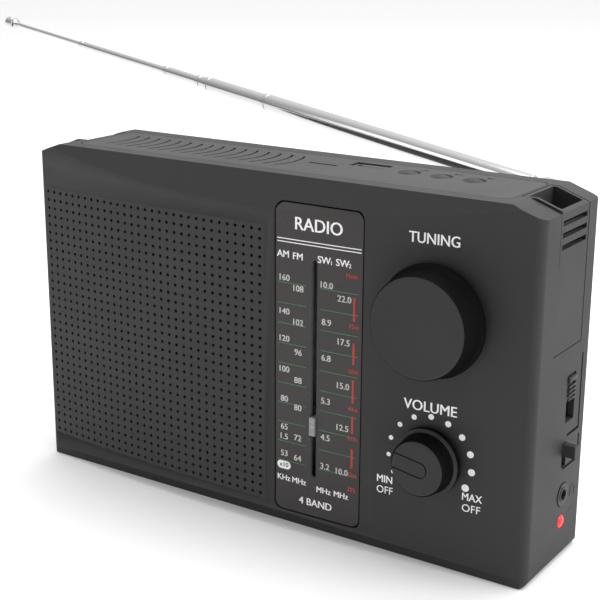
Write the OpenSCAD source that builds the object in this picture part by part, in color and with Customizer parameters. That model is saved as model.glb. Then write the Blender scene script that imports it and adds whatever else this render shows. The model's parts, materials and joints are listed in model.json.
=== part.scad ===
// Portable four-band radio receiver. Millimetres, +Z up, front towards -Y.
// The origin is the middle of the flat bottom that the cabinet rests on.

/* [Cabinet] */
// Width of the cabinet
body_w = 210; // [200:1:252]
// Depth from the front corners to the back face
body_d = 44; // [44:1:53]
// Height of the cabinet
body_h = 128; // [124:1:154]
// How far the middle of the front bows out past its corners
front_bow = 6; // [5:0.5:7.5]
// Wall of the two shells
wall = 2.2; // [1.8:0.1:2.6]
// Wall under the top panel
top_wall = 2.8; // [2.6:0.1:3.4]
// Depth of the back shell, from the parting plane to the back face
back_d = 4.5; // [4:0.5:6]
// Radius of the upright corner edges
corner_r = 3.5; // [3:0.5:4.5]
// Height of the slanted band under the top edge, at the middle
band_h = 11; // [9:0.5:13]
// Height of the slanted band above the bottom lip, at the middle
skirt_h = 5; // [4:0.5:6]
// Height of the bottom lip
lip_h = 2.5; // [2:0.1:3]
// Width and height of the slanted top corners
corner_w = 11; // [9:0.5:12]
corner_drop = 4; // [3:0.5:5]

/* [Speaker grille] */
// Pitch of the grille holes across and up
pitch_x = 3.46; // [3.2:0.02:3.8]
pitch_z = 3.26; // [3.1:0.02:3.6]
// Radius of a grille hole
hole_r = 0.65; // [0.5:0.05:0.8]
// Solid border of the grille around its outer holes
grille_border = 1.7; // [1.3:0.1:2]
// Gap from the cabinet's left edge to the first column of holes
grille_left = 4.6; // [4.5:0.1:8]
// Gap from the bottom to the first row of holes
grille_bottom = 11.4; // [11:0.2:14]
// Gap from the top to the last row of holes
grille_top = 18; // [16:0.5:20]
// Radius of the speaker's rim
speaker_r = 47; // [40:1:47]
// Radius and length of the speaker's magnet
magnet_r = 22; // [18:0.5:22]
magnet_l = 9; // [6:0.5:10]

/* [Dial] */
// Width of the dial lens
dial_w = 34; // [32:0.5:37]
// Space from the lens to the last column of grille holes
dial_gap = 6.4; // [6:0.2:8]
// Gap from the bottom and from the top to the lens
dial_bottom = 7.9; // [7.9:0.1:10]
dial_top = 8.4; // [8:0.1:10]
// Width of the pointer slot
slot_w = 2.6; // [2.4:0.1:3.2]
// Height of the pointer
pointer_h = 6.5; // [5:0.5:7]
// Distance that the pointer travels
pointer_travel = 70; // [58:1:72]
// Height of the pointer's middle above the lower end of its travel
pointer_at = 15; // [5:1:50]
// Radius of the three cord pulleys, at the cord
pulley_r = 4; // [3.5:0.1:4.5]
// Radius of the dial cord
cord_r = 0.4; // [0.3:0.05:0.45]

/* [Knobs] */
// Distance of both knobs from the cabinet's right edge
knob_from_right = 34.5; // [34:0.5:36]
// Height of the tuning knob and of the volume knob
tuning_z = 88; // [86:0.5:90]
volume_z = 39.5; // [38:0.5:42]
// Radius at the skirt and at the face, and length, of the tuning knob
tuning_r = 19; // [17:0.5:20]
tuning_face_r = 17.2; // [15:0.1:17.5]
tuning_l = 11; // [9:0.5:14]
// Radius at the skirt and at the face, and length, of the volume knob
volume_r = 11.7; // [10.5:0.1:13]
volume_face_r = 9.7; // [8.5:0.1:10]
volume_l = 8.5; // [7:0.5:11]
// Radius of both shafts
shaft_r = 3; // [2.6:0.1:3.4]

/* [Top] */
// Space from the top panel to the sides and to the front edge
panel_side = 15; // [14.5:0.5:17]
panel_front = 6; // [5:0.5:7]
// Thickness of the top panel
panel_t = 1.6; // [1.2:0.1:1.8]
// Number, pitch and width of the vent slots
vents = 16; // [10:1:16]
vent_pitch = 5.2; // [4.6:0.1:5.4]
vent_w = 0.9; // [0.6:0.1:1.2]
// Radius and pitch of the three play buttons
button_r = 3; // [2.5:0.1:3.5]
button_pitch = 12.3; // [10.5:0.1:13]
// How far a play button goes down
button_travel = 0.8; // [0.5:0.1:1]

/* [Right side] */
// Width and height of the band switch's slot
band_slot_w = 7; // [6:0.5:8]
band_slot_h = 16.8; // [14:0.2:18]
// Height of the band slider
band_slider_h = 9.6; // [8:0.2:10]
// Width and height of the mode switch's slot
mode_slot_w = 3.4; // [3:0.1:4]
mode_slot_h = 8.8; // [8:0.2:9.2]
// Height of the mode slider and how far it stands out
mode_slider_h = 4.4; // [4:0.1:4.8]
mode_slider_out = 4.5; // [3:0.5:5]
// Radius of the headphone plug's hole and of the socket's collar
plug_r = 1.8; // [1.75:0.05:1.85]
collar_r = 4.1; // [3.5:0.1:4.5]
// Radius of the power light
led_r = 2.3; // [1.5:0.1:2.5]

/* [Strap brackets] */
// Length along the side, height of the side plate and depth of the pocket
strap_l = 22.5; // [20:0.5:24]
strap_h = 50.8; // [44:0.5:54]
strap_pocket_h = 18; // [14:0.5:20]
// Width of the pocket across the top corner
strap_pocket_w = 10.4; // [9:0.1:11]

/* [Batteries] */
// Radius and length of a cell
cell_r = 7.1; // [6.5:0.1:7.2]
cell_l = 50.5; // [44:0.5:51]
// Length of a battery spring
spring_l = 4.8; // [4:0.2:5]

/* [Aerial] */
// Outer radius of the aerial's widest tube
aerial_r = 3.5; // [3.4:0.1:4]
// Step in radius from one tube to the next
aerial_step = 0.5; // [0.45:0.05:0.55]
// Length of the widest tube
aerial_l = 145; // [110:1:175]
// Angle above the level and angle back from the cabinet
aerial_rise = 6.4; // [0:0.1:170]
aerial_lean = 12; // [0:1:80]
// How far each thinner tube is pulled out
pull_2 = 37; // [0:1:100]
pull_3 = 6; // [0:1:95]
pull_4 = 23; // [0:1:90]
pull_5 = 64; // [0:1:85]
pull_6 = 55; // [0:1:80]

/* [Hidden] */
$fn = 48;

// Clearances
fit_gap = 0.25;      // between fixed pieces
slide_gap = 0.3;     // around sliders and buttons
shaft_gap = 0.05;    // radial, around shafts and pins
lens_gap = 0.5;      // around the dial lens
eps = 0.01;

// Cabinet
left = -body_w / 2;
right = body_w / 2;
front = -body_d / 2;
back = body_d / 2;
parting = back - back_d;
bow_r = (pow(body_w / 2, 2) + pow(front_bow, 2)) / (2 * front_bow);
bow_y = front - front_bow + bow_r;
band_k = front_bow / band_h;
skirt_k = front_bow / skirt_h;
corner_k = corner_drop / corner_w;
foot_r = 3;
back_r = 2.5;

// The bowed front at x, at a depth below its skin
function bow_at(x, inset = 0) = bow_y - sqrt(pow(bow_r - inset, 2) - x * x);

// Layout across the front: the knobs hang on the right edge, then the dial, then the grille
knob_x = right - knob_from_right;
dial_x1 = knob_x - 26.5;
dial_x0 = dial_x1 - dial_w;
columns = floor((dial_x0 - dial_gap - left - grille_left) / pitch_x) + 1;
rows = floor((body_h - grille_top - grille_bottom) / pitch_z) + 1;
grille_w = (columns - 1) * pitch_x;
grille_h = (rows - 1) * pitch_z;
grille_x = left + grille_left + grille_w / 2;
grille_z = grille_bottom + grille_h / 2;
frame_w = grille_w + 2 * grille_border;
frame_h = grille_h + 2 * grille_border;

// Speaker, seated on a ring behind the grille
speaker_x = grille_x;
speaker_z = grille_z;
rim_t = 1.2;
rim_y = front + 4;
rim_ring = 6;
seat_t = 1.6;
seat_border = 3;
basket_r = magnet_r + 2;
basket_back = rim_y + 16.5;
speaker_screw_r = speaker_r - rim_ring / 2;

// Dial works: everything follows the pointer's line and the cord's plane
pointer_x = dial_x0 + 15.4;
drum_r = pointer_travel / PI;
drum_t = 4;
drum_rim = 0.9;
cord_y = bow_at(knob_x + drum_r + drum_rim, wall) + fit_gap + drum_t / 2;
pulley_t = 2.4;
pulley_rim = 0.7;
pulley_x = pointer_x + pulley_r;
top_pulley_z = tuning_z + drum_r - pulley_r;
travel_top = top_pulley_z - pulley_r - pulley_rim - 1.6 - pointer_h / 2;
travel_bottom = travel_top - pointer_travel;
pointer_z = travel_bottom + pointer_at;
bottom_pulley_z = travel_bottom - pointer_h / 2 - 1.6 - pulley_rim - pulley_r;
side_pulley_x = pulley_x + 2 * pulley_r;
side_pulley_z = tuning_z - drum_r - pulley_r;
pin_r = 1.2;
plate_y = cord_y + 3.5;
plate_t = 1.2;
rail_x = pointer_x - 3.6;
rail_w = 1.2;

// Knobs stand clear of the skin; their shafts turn in bearings on the board
knob_stand_off = 0.5;
tuning_back = bow_at(knob_x - tuning_r) - knob_stand_off;
volume_back = bow_at(knob_x - volume_r) - knob_stand_off;
capacitor_d = 9;
capacitor_half = 10;
volume_case_d = 8;
bearing_l = 6;
mark_half_w = 2.65;
mark_line = 0.5;
mark_turn = 9.4;

// Boards
board_t = 1.6;
board_y = front + 16;
board_x0 = dial_x0 - 7;
board_x1 = right - 11;
board_z0 = 14;
media_z = body_h - 15.6;
media_x0 = dial_x0 - 9;
media_x1 = media_x0 + 78;
side_x = right - 12.6;
post_r = 3;
board_post_r = 2.5;
pilot_r = 1.1;
screw_r = 1.3;
head_r = 2.6;
head_t = 1.6;
board_posts = [
    [board_x0 + 3.5, board_z0 + 4], [board_x0 + 3.5, media_z - 12],
    [board_x1 - 6, board_z0 + 4], [board_x1 - 5, board_z0 + 46]
];

// Screw posts of the back shell: x, z and where the post starts
case_posts = [
    [left + 7, 8, front], [pointer_x - 1.4, 5, front + 4], [right - 7, 8, front],
    [right - 16, tuning_z + 20, front], [left + 18, body_h - 9, front]
];

// Top panel and what comes up through it
panel_x0 = left + panel_side;
panel_w = body_w - 2 * panel_side;
panel_y0 = front + panel_front;
panel_d = parting - 2 - panel_y0;
panel_z = body_h - panel_t;
panel_r = 4;
panel_ledge = 2;
vent_x0 = panel_x0 + 11;
vent_arc_r = 22;
usb_w = 13.2;
usb_d = 5.7;
usb_wall = 0.4;
usb_x = dial_x0 + 15.5;
usb_y = 8.5;
card_w = 14.4;
card_d = 1.9;
card_x = dial_x0;
card_y = 1.2;
buttons_x = usb_x + 17.3;
button_y = 5;
dish_r = button_r + 1.3;
switch_h = 3.5;

// Right side
side_y = 7.2;
band_z = 50.4;
mode_y = 4.4;
mode_z = 34.7;
jack_y = 5.3;
jack_z = 24.2;
led_y = 4.8;
led_z = 14.6;
switch_x0 = side_x + board_t;
switch_x1 = right - wall - 0.3;
switch_case_d = 5;
// L-shaped grooves that frame the two switches: y of the upright, z of its ends, y of the foot's end
groove_w = 1.1;
groove_depth = 0.8;
side_grooves = [
    [side_y + 9, band_z + band_slot_h + 5, band_z - 5.4, side_y - 1.2],
    [mode_y + 12.8, mode_z + mode_slot_h - 0.6, mode_z - 1.2, mode_y - 0.4]
];

// Strap brackets
strap_y0 = front + 12.6;
strap_t = 2;
strap_wall = 1.4;
strap_z0 = body_h - strap_h;
slat_h = 1.7;
slat_pitch = 3.9;
slats = 3;
cheek_t = 1.6;
cheek_h = 22;
cheek_out = 0.8;

// Batteries: two rows of two cells
contact_t = 0.4;
cell_gap = 0.4;
bay_x0 = left + 14;
bay_l = 2 * cell_l + spring_l + 2 * contact_t + cell_gap;
bay_z0 = 5.9;
bay_h = 4 * cell_r + 3 * cell_gap + 0.6;
bay_wall = 1.5;
bay_depth = 2 * cell_r + 0.6;
bay_y0 = back - 2 - bay_depth;
cell_y = bay_y0 + 0.3 + cell_r;
door_t = 2;
hinge_r = 1.3;
hinge_pin_r = 0.8;
hinge_y = back - 1.4;
hinge_z = bay_z0 + fit_gap + hinge_r;

// Ferrite rod, behind the vents
rod_r = 4.5;
rod_l = 77;
rod_x0 = left + 25;
rod_y = 6;
rod_z = body_h - 12;

// Aerial
aerial_x = right - 21;
aerial_z = body_h - 6;
mount_t = 1.6;
swivel_r = 5.4;
swivel_t = 3;
mount_posts = [[aerial_x - 4.6, aerial_z - 8.6], [aerial_x + 4.6, aerial_z - 8.6]];
fork_gap = 0.2;
tongue_t = 2.6;
ear_t = 1.8;
aerial_pin_r = 1;
aerial_y = back + mount_t + swivel_t + aerial_r + 1;
tube_wall = aerial_step - 0.1;
pulls = [0, pull_2, pull_3, pull_4, pull_5, pull_6];
// Where each tube ends, measured from the hinge along the aerial
function sum_to(list, n) = n < 0 ? 0 : list[n] + sum_to(list, n - 1);
function tube_end(i) = aerial_l + sum_to(pulls, i);
function tube_len(i) = aerial_l - 8 - 3 * i;
function tube_r(i) = aerial_r - aerial_step * i;

// ---- Helpers ----

module block(low, high) {
    translate(low) cube(high - low);
}

module bar_x(x0, x1, y, z, r) {
    translate([x0, y, z]) rotate([0, 90, 0]) cylinder(r = r, h = x1 - x0);
}

module bar_y(x, y0, y1, z, r) {
    translate([x, y0, z]) rotate([-90, 0, 0]) cylinder(r = r, h = y1 - y0);
}

module bar_z(x, y, z0, z1, r) {
    translate([x, y, z0]) cylinder(r = r, h = z1 - z0);
}

// A turned piece whose axis runs along Y: profile points are [radius, distance towards the front]
module turned_y(x, z, profile) {
    translate([x, 0, z]) rotate([90, 0, 0]) rotate_extrude() polygon(profile);
}

// A low dome of a given base radius and height, standing on the XY plane
module dome(r, h) {
    ball = (r * r + h * h) / (2 * h);
    rotate_extrude() intersection() {
        translate([0, h - ball]) circle(r = ball, $fn = 96);
        square([r, h]);
    }
}

module rounded_rect(w, d, r) {
    translate([r, 0]) square([w - 2 * r, d]);
    translate([0, r]) square([w, d - 2 * r]);
    for (x = [r, w - r], y = [r, d - r])
        translate([x, y]) circle(r = r);
}

// The waste outside a rounded corner at the origin, with the body towards +X +Y
module corner_waste(r) {
    difference() {
        translate([-1, -1]) square(r + 1);
        translate([r, r]) circle(r = r);
    }
}

// ---- Cabinet form ----

// Seen from above: the bowed front between the two sides
module plan(inset) {
    difference() {
        intersection() {
            translate([left + inset, front - 2 * front_bow])
                square([body_w - 2 * inset, body_d + 2 * front_bow - inset]);
            translate([0, bow_y]) circle(r = bow_r - inset, $fn = 720);
        }
        if (inset == 0) {
            for (side = [0, 1]) mirror([side, 0]) {
                translate([left, bow_at(left + corner_r)]) corner_waste(corner_r);
                translate([left, back]) mirror([0, 1]) corner_waste(back_r);
            }
        }
    }
}

// Seen from the front: slanted top corners, rounded foot
module elevation(inset, top_inset) {
    lean = sqrt(1 + corner_k * corner_k) * inset;
    x_side = body_w / 2 - inset;
    x_top = body_w / 2 - corner_w + (top_inset - lean) / corner_k;
    z_side = body_h - corner_k * (corner_w - inset) - lean;
    difference() {
        polygon([
            [-x_side, inset], [x_side, inset], [x_side, z_side], [x_top, body_h - top_inset],
            [-x_top, body_h - top_inset], [-x_side, z_side]
        ]);
        if (inset == 0)
            for (side = [0, 1]) mirror([side, 0])
                translate([left, 0]) corner_waste(foot_r);
    }
}

// Seen from the right: the two slanted bands
module side_view(inset, top_inset) {
    reach = front_bow + 1;
    y_top = front + inset * sqrt(1 + band_k * band_k) - top_inset * band_k;
    y_lip = front + inset;
    z_lip = lip_h + (sqrt(1 + 1 / (skirt_k * skirt_k)) - 1 / skirt_k) * inset;
    polygon([
        [y_top, body_h - top_inset],
        [y_top - reach, body_h - top_inset - reach / band_k],
        [y_top - reach, z_lip + reach / skirt_k],
        [y_lip, z_lip], [y_lip, inset],
        [back - inset, inset], [back - inset, body_h - top_inset]
    ]);
}

module cabinet(inset = 0, top_inset = 0) {
    intersection() {
        linear_extrude(body_h) plan(inset);
        translate([0, back, 0]) rotate([90, 0, 0])
            linear_extrude(body_d + 2 * front_bow) elevation(inset, top_inset);
        translate([left, 0, 0]) rotate([90, 0, 90])
            linear_extrude(body_w) side_view(inset, top_inset);
    }
}

// Outline of the dial lens in the XZ plane, grown by a margin
module dial_outline(grow) {
    z0 = dial_bottom - grow;
    z1 = body_h - dial_top + grow;
    translate([dial_x0 - grow, z0]) rounded_rect(dial_w + 2 * grow, z1 - z0, 3);
}

// A prism along Y over an XZ outline, through the front wall only
module through_front(y1 = front + 8) {
    translate([0, y1, 0]) rotate([90, 0, 0])
        linear_extrude(y1 - front + 2 * front_bow) children();
}

module grille_block(grow, y1) {
    block([grille_x - frame_w / 2 - grow, front - 2 * front_bow, grille_z - frame_h / 2 - grow],
          [grille_x + frame_w / 2 + grow, y1, grille_z + frame_h / 2 + grow]);
}

// The space that a strap bracket takes in the cabinet, on the right side
module strap_space(grow) {
    block([right - strap_t - grow, strap_y0 - grow, strap_z0 - grow],
          [right + 1, strap_y0 + strap_l + grow, body_h + 1]);
    block([right - strap_t - strap_pocket_w - strap_wall - grow, strap_y0 - grow,
           body_h - strap_pocket_h - strap_wall - grow],
          [right + 1, strap_y0 + strap_l + grow, body_h + 1]);
}

module at_posts(list) {
    for (p = list) translate([p[0], 0, p[1]]) children();
}

// ---- Shells ----

module front_shell() color([0.13, 0.13, 0.14]) {
    difference() {
        union() {
            difference() {
                cabinet();
                cabinet(wall, top_wall);
                block([left - 1, parting, -1], [right + 1, back + 1, body_h + 1]);
            }
            // Screw posts, speaker seat and lens frame grow out of the wall
            intersection() {
                cabinet(wall / 2, wall / 2);
                union() {
                    for (p = case_posts)
                        bar_y(p[0], p[2] - (p[2] == front ? front_bow : 0), parting, p[1], post_r);
                    for (p = board_posts)
                        bar_y(p[0], front - front_bow, board_y, p[1], board_post_r);
                    difference() {
                        grille_block(seat_border, rim_y);
                        grille_block(fit_gap, rim_y - seat_t);
                        bar_y(speaker_x, front, rim_y + 1, speaker_z, speaker_r - rim_ring);
                    }
                    difference() {
                        intersection() {
                            through_front() dial_outline(2.4);
                            difference() {
                                cabinet(wall - eps, top_wall - eps);
                                cabinet(wall + 1.4, wall + 1.4);
                            }
                        }
                        through_front(front + 9) dial_outline(-2);
                    }
                }
            }
        }
        // Openings of the front
        grille_block(fit_gap, rim_y - seat_t);
        intersection() {
            through_front() dial_outline(lens_gap);
            difference() {
                cabinet(-eps, -eps);
                cabinet(wall, wall);
            }
        }
        bar_y(knob_x, front - 2 * front_bow, front + 4, tuning_z, shaft_r + 1);
        bar_y(knob_x, front - 2 * front_bow, front + 4, volume_z, shaft_r + 1);
        // Recess of the top panel and the hole under it
        translate([panel_x0 - fit_gap, panel_y0 - fit_gap, panel_z - eps])
            linear_extrude(panel_t + 1)
                rounded_rect(panel_w + 2 * fit_gap, panel_d + 2 * fit_gap, panel_r);
        block([panel_x0 + panel_ledge, panel_y0 + panel_ledge, body_h - top_wall - 1],
              [panel_x0 + panel_w - panel_ledge, panel_y0 + panel_d - panel_ledge, body_h]);
        // Strap brackets
        for (side = [0, 1]) mirror([side, 0, 0]) strap_space(fit_gap);
        // Right side
        block([right - 4, side_y - band_slot_w / 2, band_z],
              [right + 1, side_y + band_slot_w / 2, band_z + band_slot_h]);
        block([right - 4, mode_y - mode_slot_w / 2, mode_z],
              [right + 1, mode_y + mode_slot_w / 2, mode_z + mode_slot_h]);
        bar_x(right - 4, right + 1, jack_y, jack_z, collar_r + fit_gap);
        bar_x(right - 4, right + 1, led_y, led_z, led_r + fit_gap);
        for (g = side_grooves) {
            block([right - groove_depth, g[0] - groove_w, g[2]], [right + 1, g[0], g[1]]);
            block([right - groove_depth, g[3], g[2]], [right + 1, g[0], g[2] + groove_w]);
        }
        // Pilot holes
        for (p = case_posts) bar_y(p[0], parting - 9, parting + 1, p[1], pilot_r);
        for (p = board_posts) bar_y(p[0], board_y - 6, board_y + 1, p[1], pilot_r);
        for (a = [45:90:315])
            bar_y(speaker_x + speaker_screw_r * cos(a), rim_y - 2, rim_y + 1,
                  speaker_z + speaker_screw_r * sin(a), pilot_r - 0.3);
    }
}

// The perforated field is curved with the front, in strips one hole wide
module speaker_grille() color([0.12, 0.12, 0.13]) {
    x0 = grille_x - frame_w / 2;
    x1 = grille_x + frame_w / 2;
    strips = columns;
    step = (x1 - x0) / strips;
    xs = [for (i = [0:strips]) x0 + i * step];
    skin = [for (x = xs) [x, bow_at(x)]];
    inner = [for (i = [strips:-1:0]) [xs[i], bow_at(xs[i]) + wall]];
    difference() {
        translate([0, 0, grille_z - frame_h / 2]) linear_extrude(frame_h)
            polygon(concat(skin, inner));
        for (i = [0:columns - 1], k = [0:rows - 1])
            bar_y(grille_x - grille_w / 2 + i * pitch_x, front - 2 * front_bow, front + 4,
                  grille_bottom + k * pitch_z, hole_r, $fn = 16);
    }
}

module dial_lens() color([0.2, 0.18, 0.18]) {
    lens_inset = 0.2;
    difference() {
        intersection() {
            through_front() dial_outline(0);
            difference() {
                cabinet(lens_inset, lens_inset);
                cabinet(wall - 0.1, wall - 0.1);
            }
        }
        through_front()
            translate([pointer_x - slot_w / 2, travel_bottom - (pointer_h + slot_w) / 2])
                rounded_rect(slot_w, pointer_travel + pointer_h + slot_w, slot_w / 2 - eps);
    }
}

// A curved vent slot: part of a ring, seen from above
module vent_slot() {
    reach = 10;
    intersection() {
        difference() {
            translate([-vent_arc_r, 0]) circle(r = vent_arc_r + vent_w / 2);
            translate([-vent_arc_r, 0]) circle(r = vent_arc_r - vent_w / 2);
        }
        translate([-reach, -reach]) square([2 * reach, 2 * reach]);
    }
}

module top_panel() color([0.16, 0.16, 0.17]) {
    difference() {
        translate([panel_x0, panel_y0, panel_z]) linear_extrude(panel_t)
            rounded_rect(panel_w, panel_d, panel_r);
        for (i = [0:vents - 1])
            translate([vent_x0 + i * vent_pitch, 0, panel_z - 1]) linear_extrude(panel_t + 2)
                vent_slot();
        block([card_x - 5.8, card_y - 0.7, panel_z - 1], [card_x + 5.8, card_y + 0.7, body_h + 1]);
        block([usb_x - usb_w / 2 - 0.6, usb_y - usb_d / 2 - 0.4, panel_z - 1],
              [usb_x + usb_w / 2 + 0.6, usb_y + usb_d / 2 + 0.4, body_h + 1]);
        for (i = [0:2]) {
            bx = buttons_x + i * button_pitch;
            bar_z(bx, button_y, panel_z - 1, body_h + 1, button_r + slide_gap);
            translate([bx, button_y, body_h - 0.7])
                cylinder(r1 = button_r + 0.5, r2 = dish_r, h = 0.8);
        }
    }
}

// The bay that holds the cells, open towards the back
module battery_bay() {
    difference() {
        block([bay_x0 - bay_wall, bay_y0 - bay_wall, bay_z0 - bay_wall],
              [bay_x0 + bay_l + bay_wall, back - wall + eps, bay_z0 + bay_h + bay_wall]);
        block([bay_x0, bay_y0, bay_z0], [bay_x0 + bay_l, back + 1, bay_z0 + bay_h]);
    }
}

module rear_shell() color([0.12, 0.12, 0.13]) {
    difference() {
        union() {
            difference() {
                cabinet();
                cabinet(wall, top_wall);
                block([left - 1, front - 2 * front_bow, -1], [right + 1, parting, body_h + 1]);
            }
            battery_bay();
            // Bushes that the case screws pull against
            intersection() {
                cabinet(wall / 2, wall / 2);
                for (p = case_posts) bar_y(p[0], parting, back, p[1], post_r + 0.6);
            }
        }
        block([bay_x0, back - wall - 1, bay_z0], [bay_x0 + bay_l, back + 1, bay_z0 + bay_h]);
        bar_x(bay_x0 - 1.2, bay_x0 + bay_l + 1.2, hinge_y, hinge_z, hinge_pin_r + shaft_gap);
        at_posts(case_posts) {
            bar_y(0, parting - 1, back + 1, 0, screw_r + 0.1);
            bar_y(0, back - head_t - 0.4, back + 1, 0, head_r + fit_gap);
        }
        at_posts(mount_posts) bar_y(0, back - wall - 1, back + 1, 0, pilot_r);
    }
}

module strap_bracket() {
    x0 = right - strap_t - strap_pocket_w - strap_wall;
    floor_z = body_h - strap_pocket_h;
    slat_z = body_h - 6.6;
    difference() {
        union() {
            intersection() {
                cabinet(0.1, 0.1);
                strap_space(0);
            }
            // Cheek in front of the slots, proud of the side and of the slanted corner
            intersection() {
                cabinet(-cheek_out, 0);
                block([right - strap_t, strap_y0, body_h - cheek_h],
                      [right + 1, strap_y0 + cheek_t, body_h]);
            }
            intersection() {
                cabinet(-cheek_out, 0);
                block([x0 + 0.5, strap_y0, body_h - strap_pocket_h / 2],
                      [right + 1, strap_y0 + strap_wall, body_h]);
            }
        }
        block([x0 + strap_wall, strap_y0 + strap_wall, floor_z],
              [right - strap_t, strap_y0 + strap_l - strap_wall, body_h + 1]);
        for (i = [0:slats - 1])
            block([right - strap_t - 1, strap_y0 + strap_wall, slat_z - slat_h - i * slat_pitch],
                  [right + 1, strap_y0 + strap_l - strap_wall, slat_z - i * slat_pitch]);
    }
}

module strap_bracket_right() color([0.1, 0.1, 0.11]) strap_bracket();

module strap_bracket_left() color([0.1, 0.1, 0.11]) mirror([1, 0, 0]) strap_bracket();

module battery_door() color([0.11, 0.11, 0.12]) {
    x0 = bay_x0 + fit_gap;
    x1 = bay_x0 + bay_l - fit_gap;
    z1 = bay_z0 + bay_h - fit_gap;
    difference() {
        union() {
            block([x0, back - door_t, hinge_z], [x1, back, z1]);
            bar_x(x0, x1, hinge_y, hinge_z, hinge_r);
            bar_x(x0 - 1.2, x1 + 1.2, hinge_y, hinge_z, hinge_pin_r);
        }
        // Finger notch at the upper edge
        bar_y((x0 + x1) / 2, back - 0.8, back + 1, z1 + 2, 7);
    }
}

module case_screws() color([0.6, 0.6, 0.62]) {
    at_posts(case_posts) {
        bar_y(0, parting - 8.5, back - head_t, 0, pilot_r - 0.02);
        difference() {
            bar_y(0, back - head_t - 0.35, back - 0.4, 0, head_r);
            for (a = [0, 90]) rotate([0, a, 0])
                block([-1.6, back - 1.3, -0.3], [1.6, back, 0.3]);
        }
    }
    at_posts(mount_posts) {
        bar_y(0, back - 4, back + mount_t + 0.1, 0, pilot_r - 0.02);
        bar_y(0, back + mount_t + 0.02, back + mount_t + 1.2, 0, 2.2);
    }
}

// ---- Batteries ----

// The lower row's spring is at the left, the upper row's at the right
module at_rows() {
    for (row = [0, 1])
        translate([bay_x0 + bay_l / 2, cell_y,
                   bay_z0 + 0.3 + cell_gap + cell_r + row * (2 * cell_r + cell_gap)])
            rotate([0, 0, row * 180]) translate([-bay_l / 2, 0, 0]) children();
}

module battery_cells() color([0.2, 0.35, 0.6]) {
    nub = 1;
    at_rows() for (k = [0, 1])
        translate([contact_t + spring_l + k * cell_l, 0, 0]) rotate([0, 90, 0]) {
            cylinder(r = cell_r, h = cell_l - nub - 0.1);
            cylinder(r = 2.6, h = cell_l - 0.1);
        }
}

module battery_contacts() color([0.8, 0.8, 0.78]) {
    at_rows() {
        block([0, -5, -6], [contact_t, 5, 6]);
        block([bay_l - contact_t, -5, -6], [bay_l, 5, 6]);
    }
}

// Each spring stands as a cone of close rings
module battery_springs() color([0.75, 0.75, 0.75]) {
    wire_r = 0.45;
    rings = 6;
    pitch = (spring_l - 2 * wire_r) / (rings - 1);
    at_rows() for (i = [0:rings - 1])
        translate([contact_t + wire_r + i * pitch, 0, 0]) rotate([0, 90, 0])
            rotate_extrude() translate([4.6 - i * 0.35, 0]) circle(r = wire_r, $fn = 16);
}

// ---- Speaker ----

module speaker_basket() color([0.45, 0.45, 0.47]) {
    difference() {
        turned_y(speaker_x, speaker_z, [
            [speaker_r - 5.6, -rim_y - rim_t], [speaker_r, -rim_y - rim_t], [speaker_r, -rim_y],
            [speaker_r - 7, -rim_y],
            [basket_r - 2.2, -basket_back + 1.5], [5, -basket_back + 1.5],
            [5, -basket_back], [basket_r, -basket_back]
        ]);
        for (a = [45:90:315])
            bar_y(speaker_x + speaker_screw_r * cos(a), rim_y - 1, rim_y + rim_t + 1,
                  speaker_z + speaker_screw_r * sin(a), pilot_r);
    }
}

module speaker_cone() color([0.25, 0.25, 0.25]) {
    edge = speaker_r - 7.8;
    turned_y(speaker_x, speaker_z, [
        [edge, -rim_y], [edge, -rim_y - 0.6], [14, -rim_y - 9.6], [0, -rim_y - 7.6],
        [0, -rim_y - 7], [14, -rim_y - 9]
    ]);
}

module speaker_magnet() color([0.3, 0.3, 0.32]) {
    bar_y(speaker_x, basket_back, basket_back + magnet_l, speaker_z, magnet_r);
    bar_y(speaker_x, basket_back - 4, basket_back + eps, speaker_z, 4.8);
}

module speaker_screws() color([0.6, 0.6, 0.62]) {
    for (a = [45:90:315]) {
        sx = speaker_x + speaker_screw_r * cos(a);
        sz = speaker_z + speaker_screw_r * sin(a);
        bar_y(sx, rim_y - 1.8, rim_y + rim_t + 0.1, sz, pilot_r - 0.35);
        bar_y(sx, rim_y + rim_t + 0.02, rim_y + rim_t + 1.2, sz, 1.8);
    }
}

// ---- Boards ----

module main_board() color([0.1, 0.35, 0.2]) {
    notch_z = tuning_z + 14;
    difference() {
        union() {
            block([board_x0, board_y, board_z0], [board_x1, board_y + board_t, notch_z]);
            block([board_x0, board_y, notch_z - eps], [board_x1 - 9, board_y + board_t, media_z]);
        }
        for (p = board_posts) bar_y(p[0], board_y - 1, board_y + board_t + 1, p[1], screw_r);
    }
}

// Coil cans, capacitors and the receiver's chip on the back of the board
module board_components() color([0.7, 0.7, 0.7]) {
    y0 = board_y + board_t;
    for (i = [0:2])
        block([board_x0 + 14 + i * 13, y0, board_z0 + 62],
              [board_x0 + 21 + i * 13, y0 + 9, board_z0 + 69]);
    for (i = [0:3]) bar_y(board_x0 + 22 + i * 12, y0, y0 + 11, board_z0 + 20, 3.2);
    block([board_x0 + 16, y0, board_z0 + 38], [board_x0 + 36, y0 + 3.2, board_z0 + 45]);
}

module board_screws() color([0.6, 0.6, 0.62]) {
    y1 = board_y + board_t;
    at_posts(board_posts) {
        bar_y(0, y1 - 6.5, y1 + 0.1, 0, pilot_r - 0.02);
        bar_y(0, y1 + 0.02, y1 + head_t, 0, head_r - 0.2);
    }
}

// Carries the sockets and switches of the right side
module side_board() color([0.1, 0.35, 0.2]) {
    block([side_x, board_y + board_t, 11.6], [side_x + board_t, 14, band_z + band_slot_h + 4]);
}

module media_board() color([0.1, 0.35, 0.2]) {
    block([media_x0, panel_y0 + 3, media_z], [media_x1, panel_y0 + panel_d - 3, media_z + board_t]);
}

// ---- Ferrite rod ----

module ferrite_rod() color([0.2, 0.2, 0.2]) {
    bar_x(rod_x0, rod_x0 + rod_l, rod_y, rod_z, rod_r);
}

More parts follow.
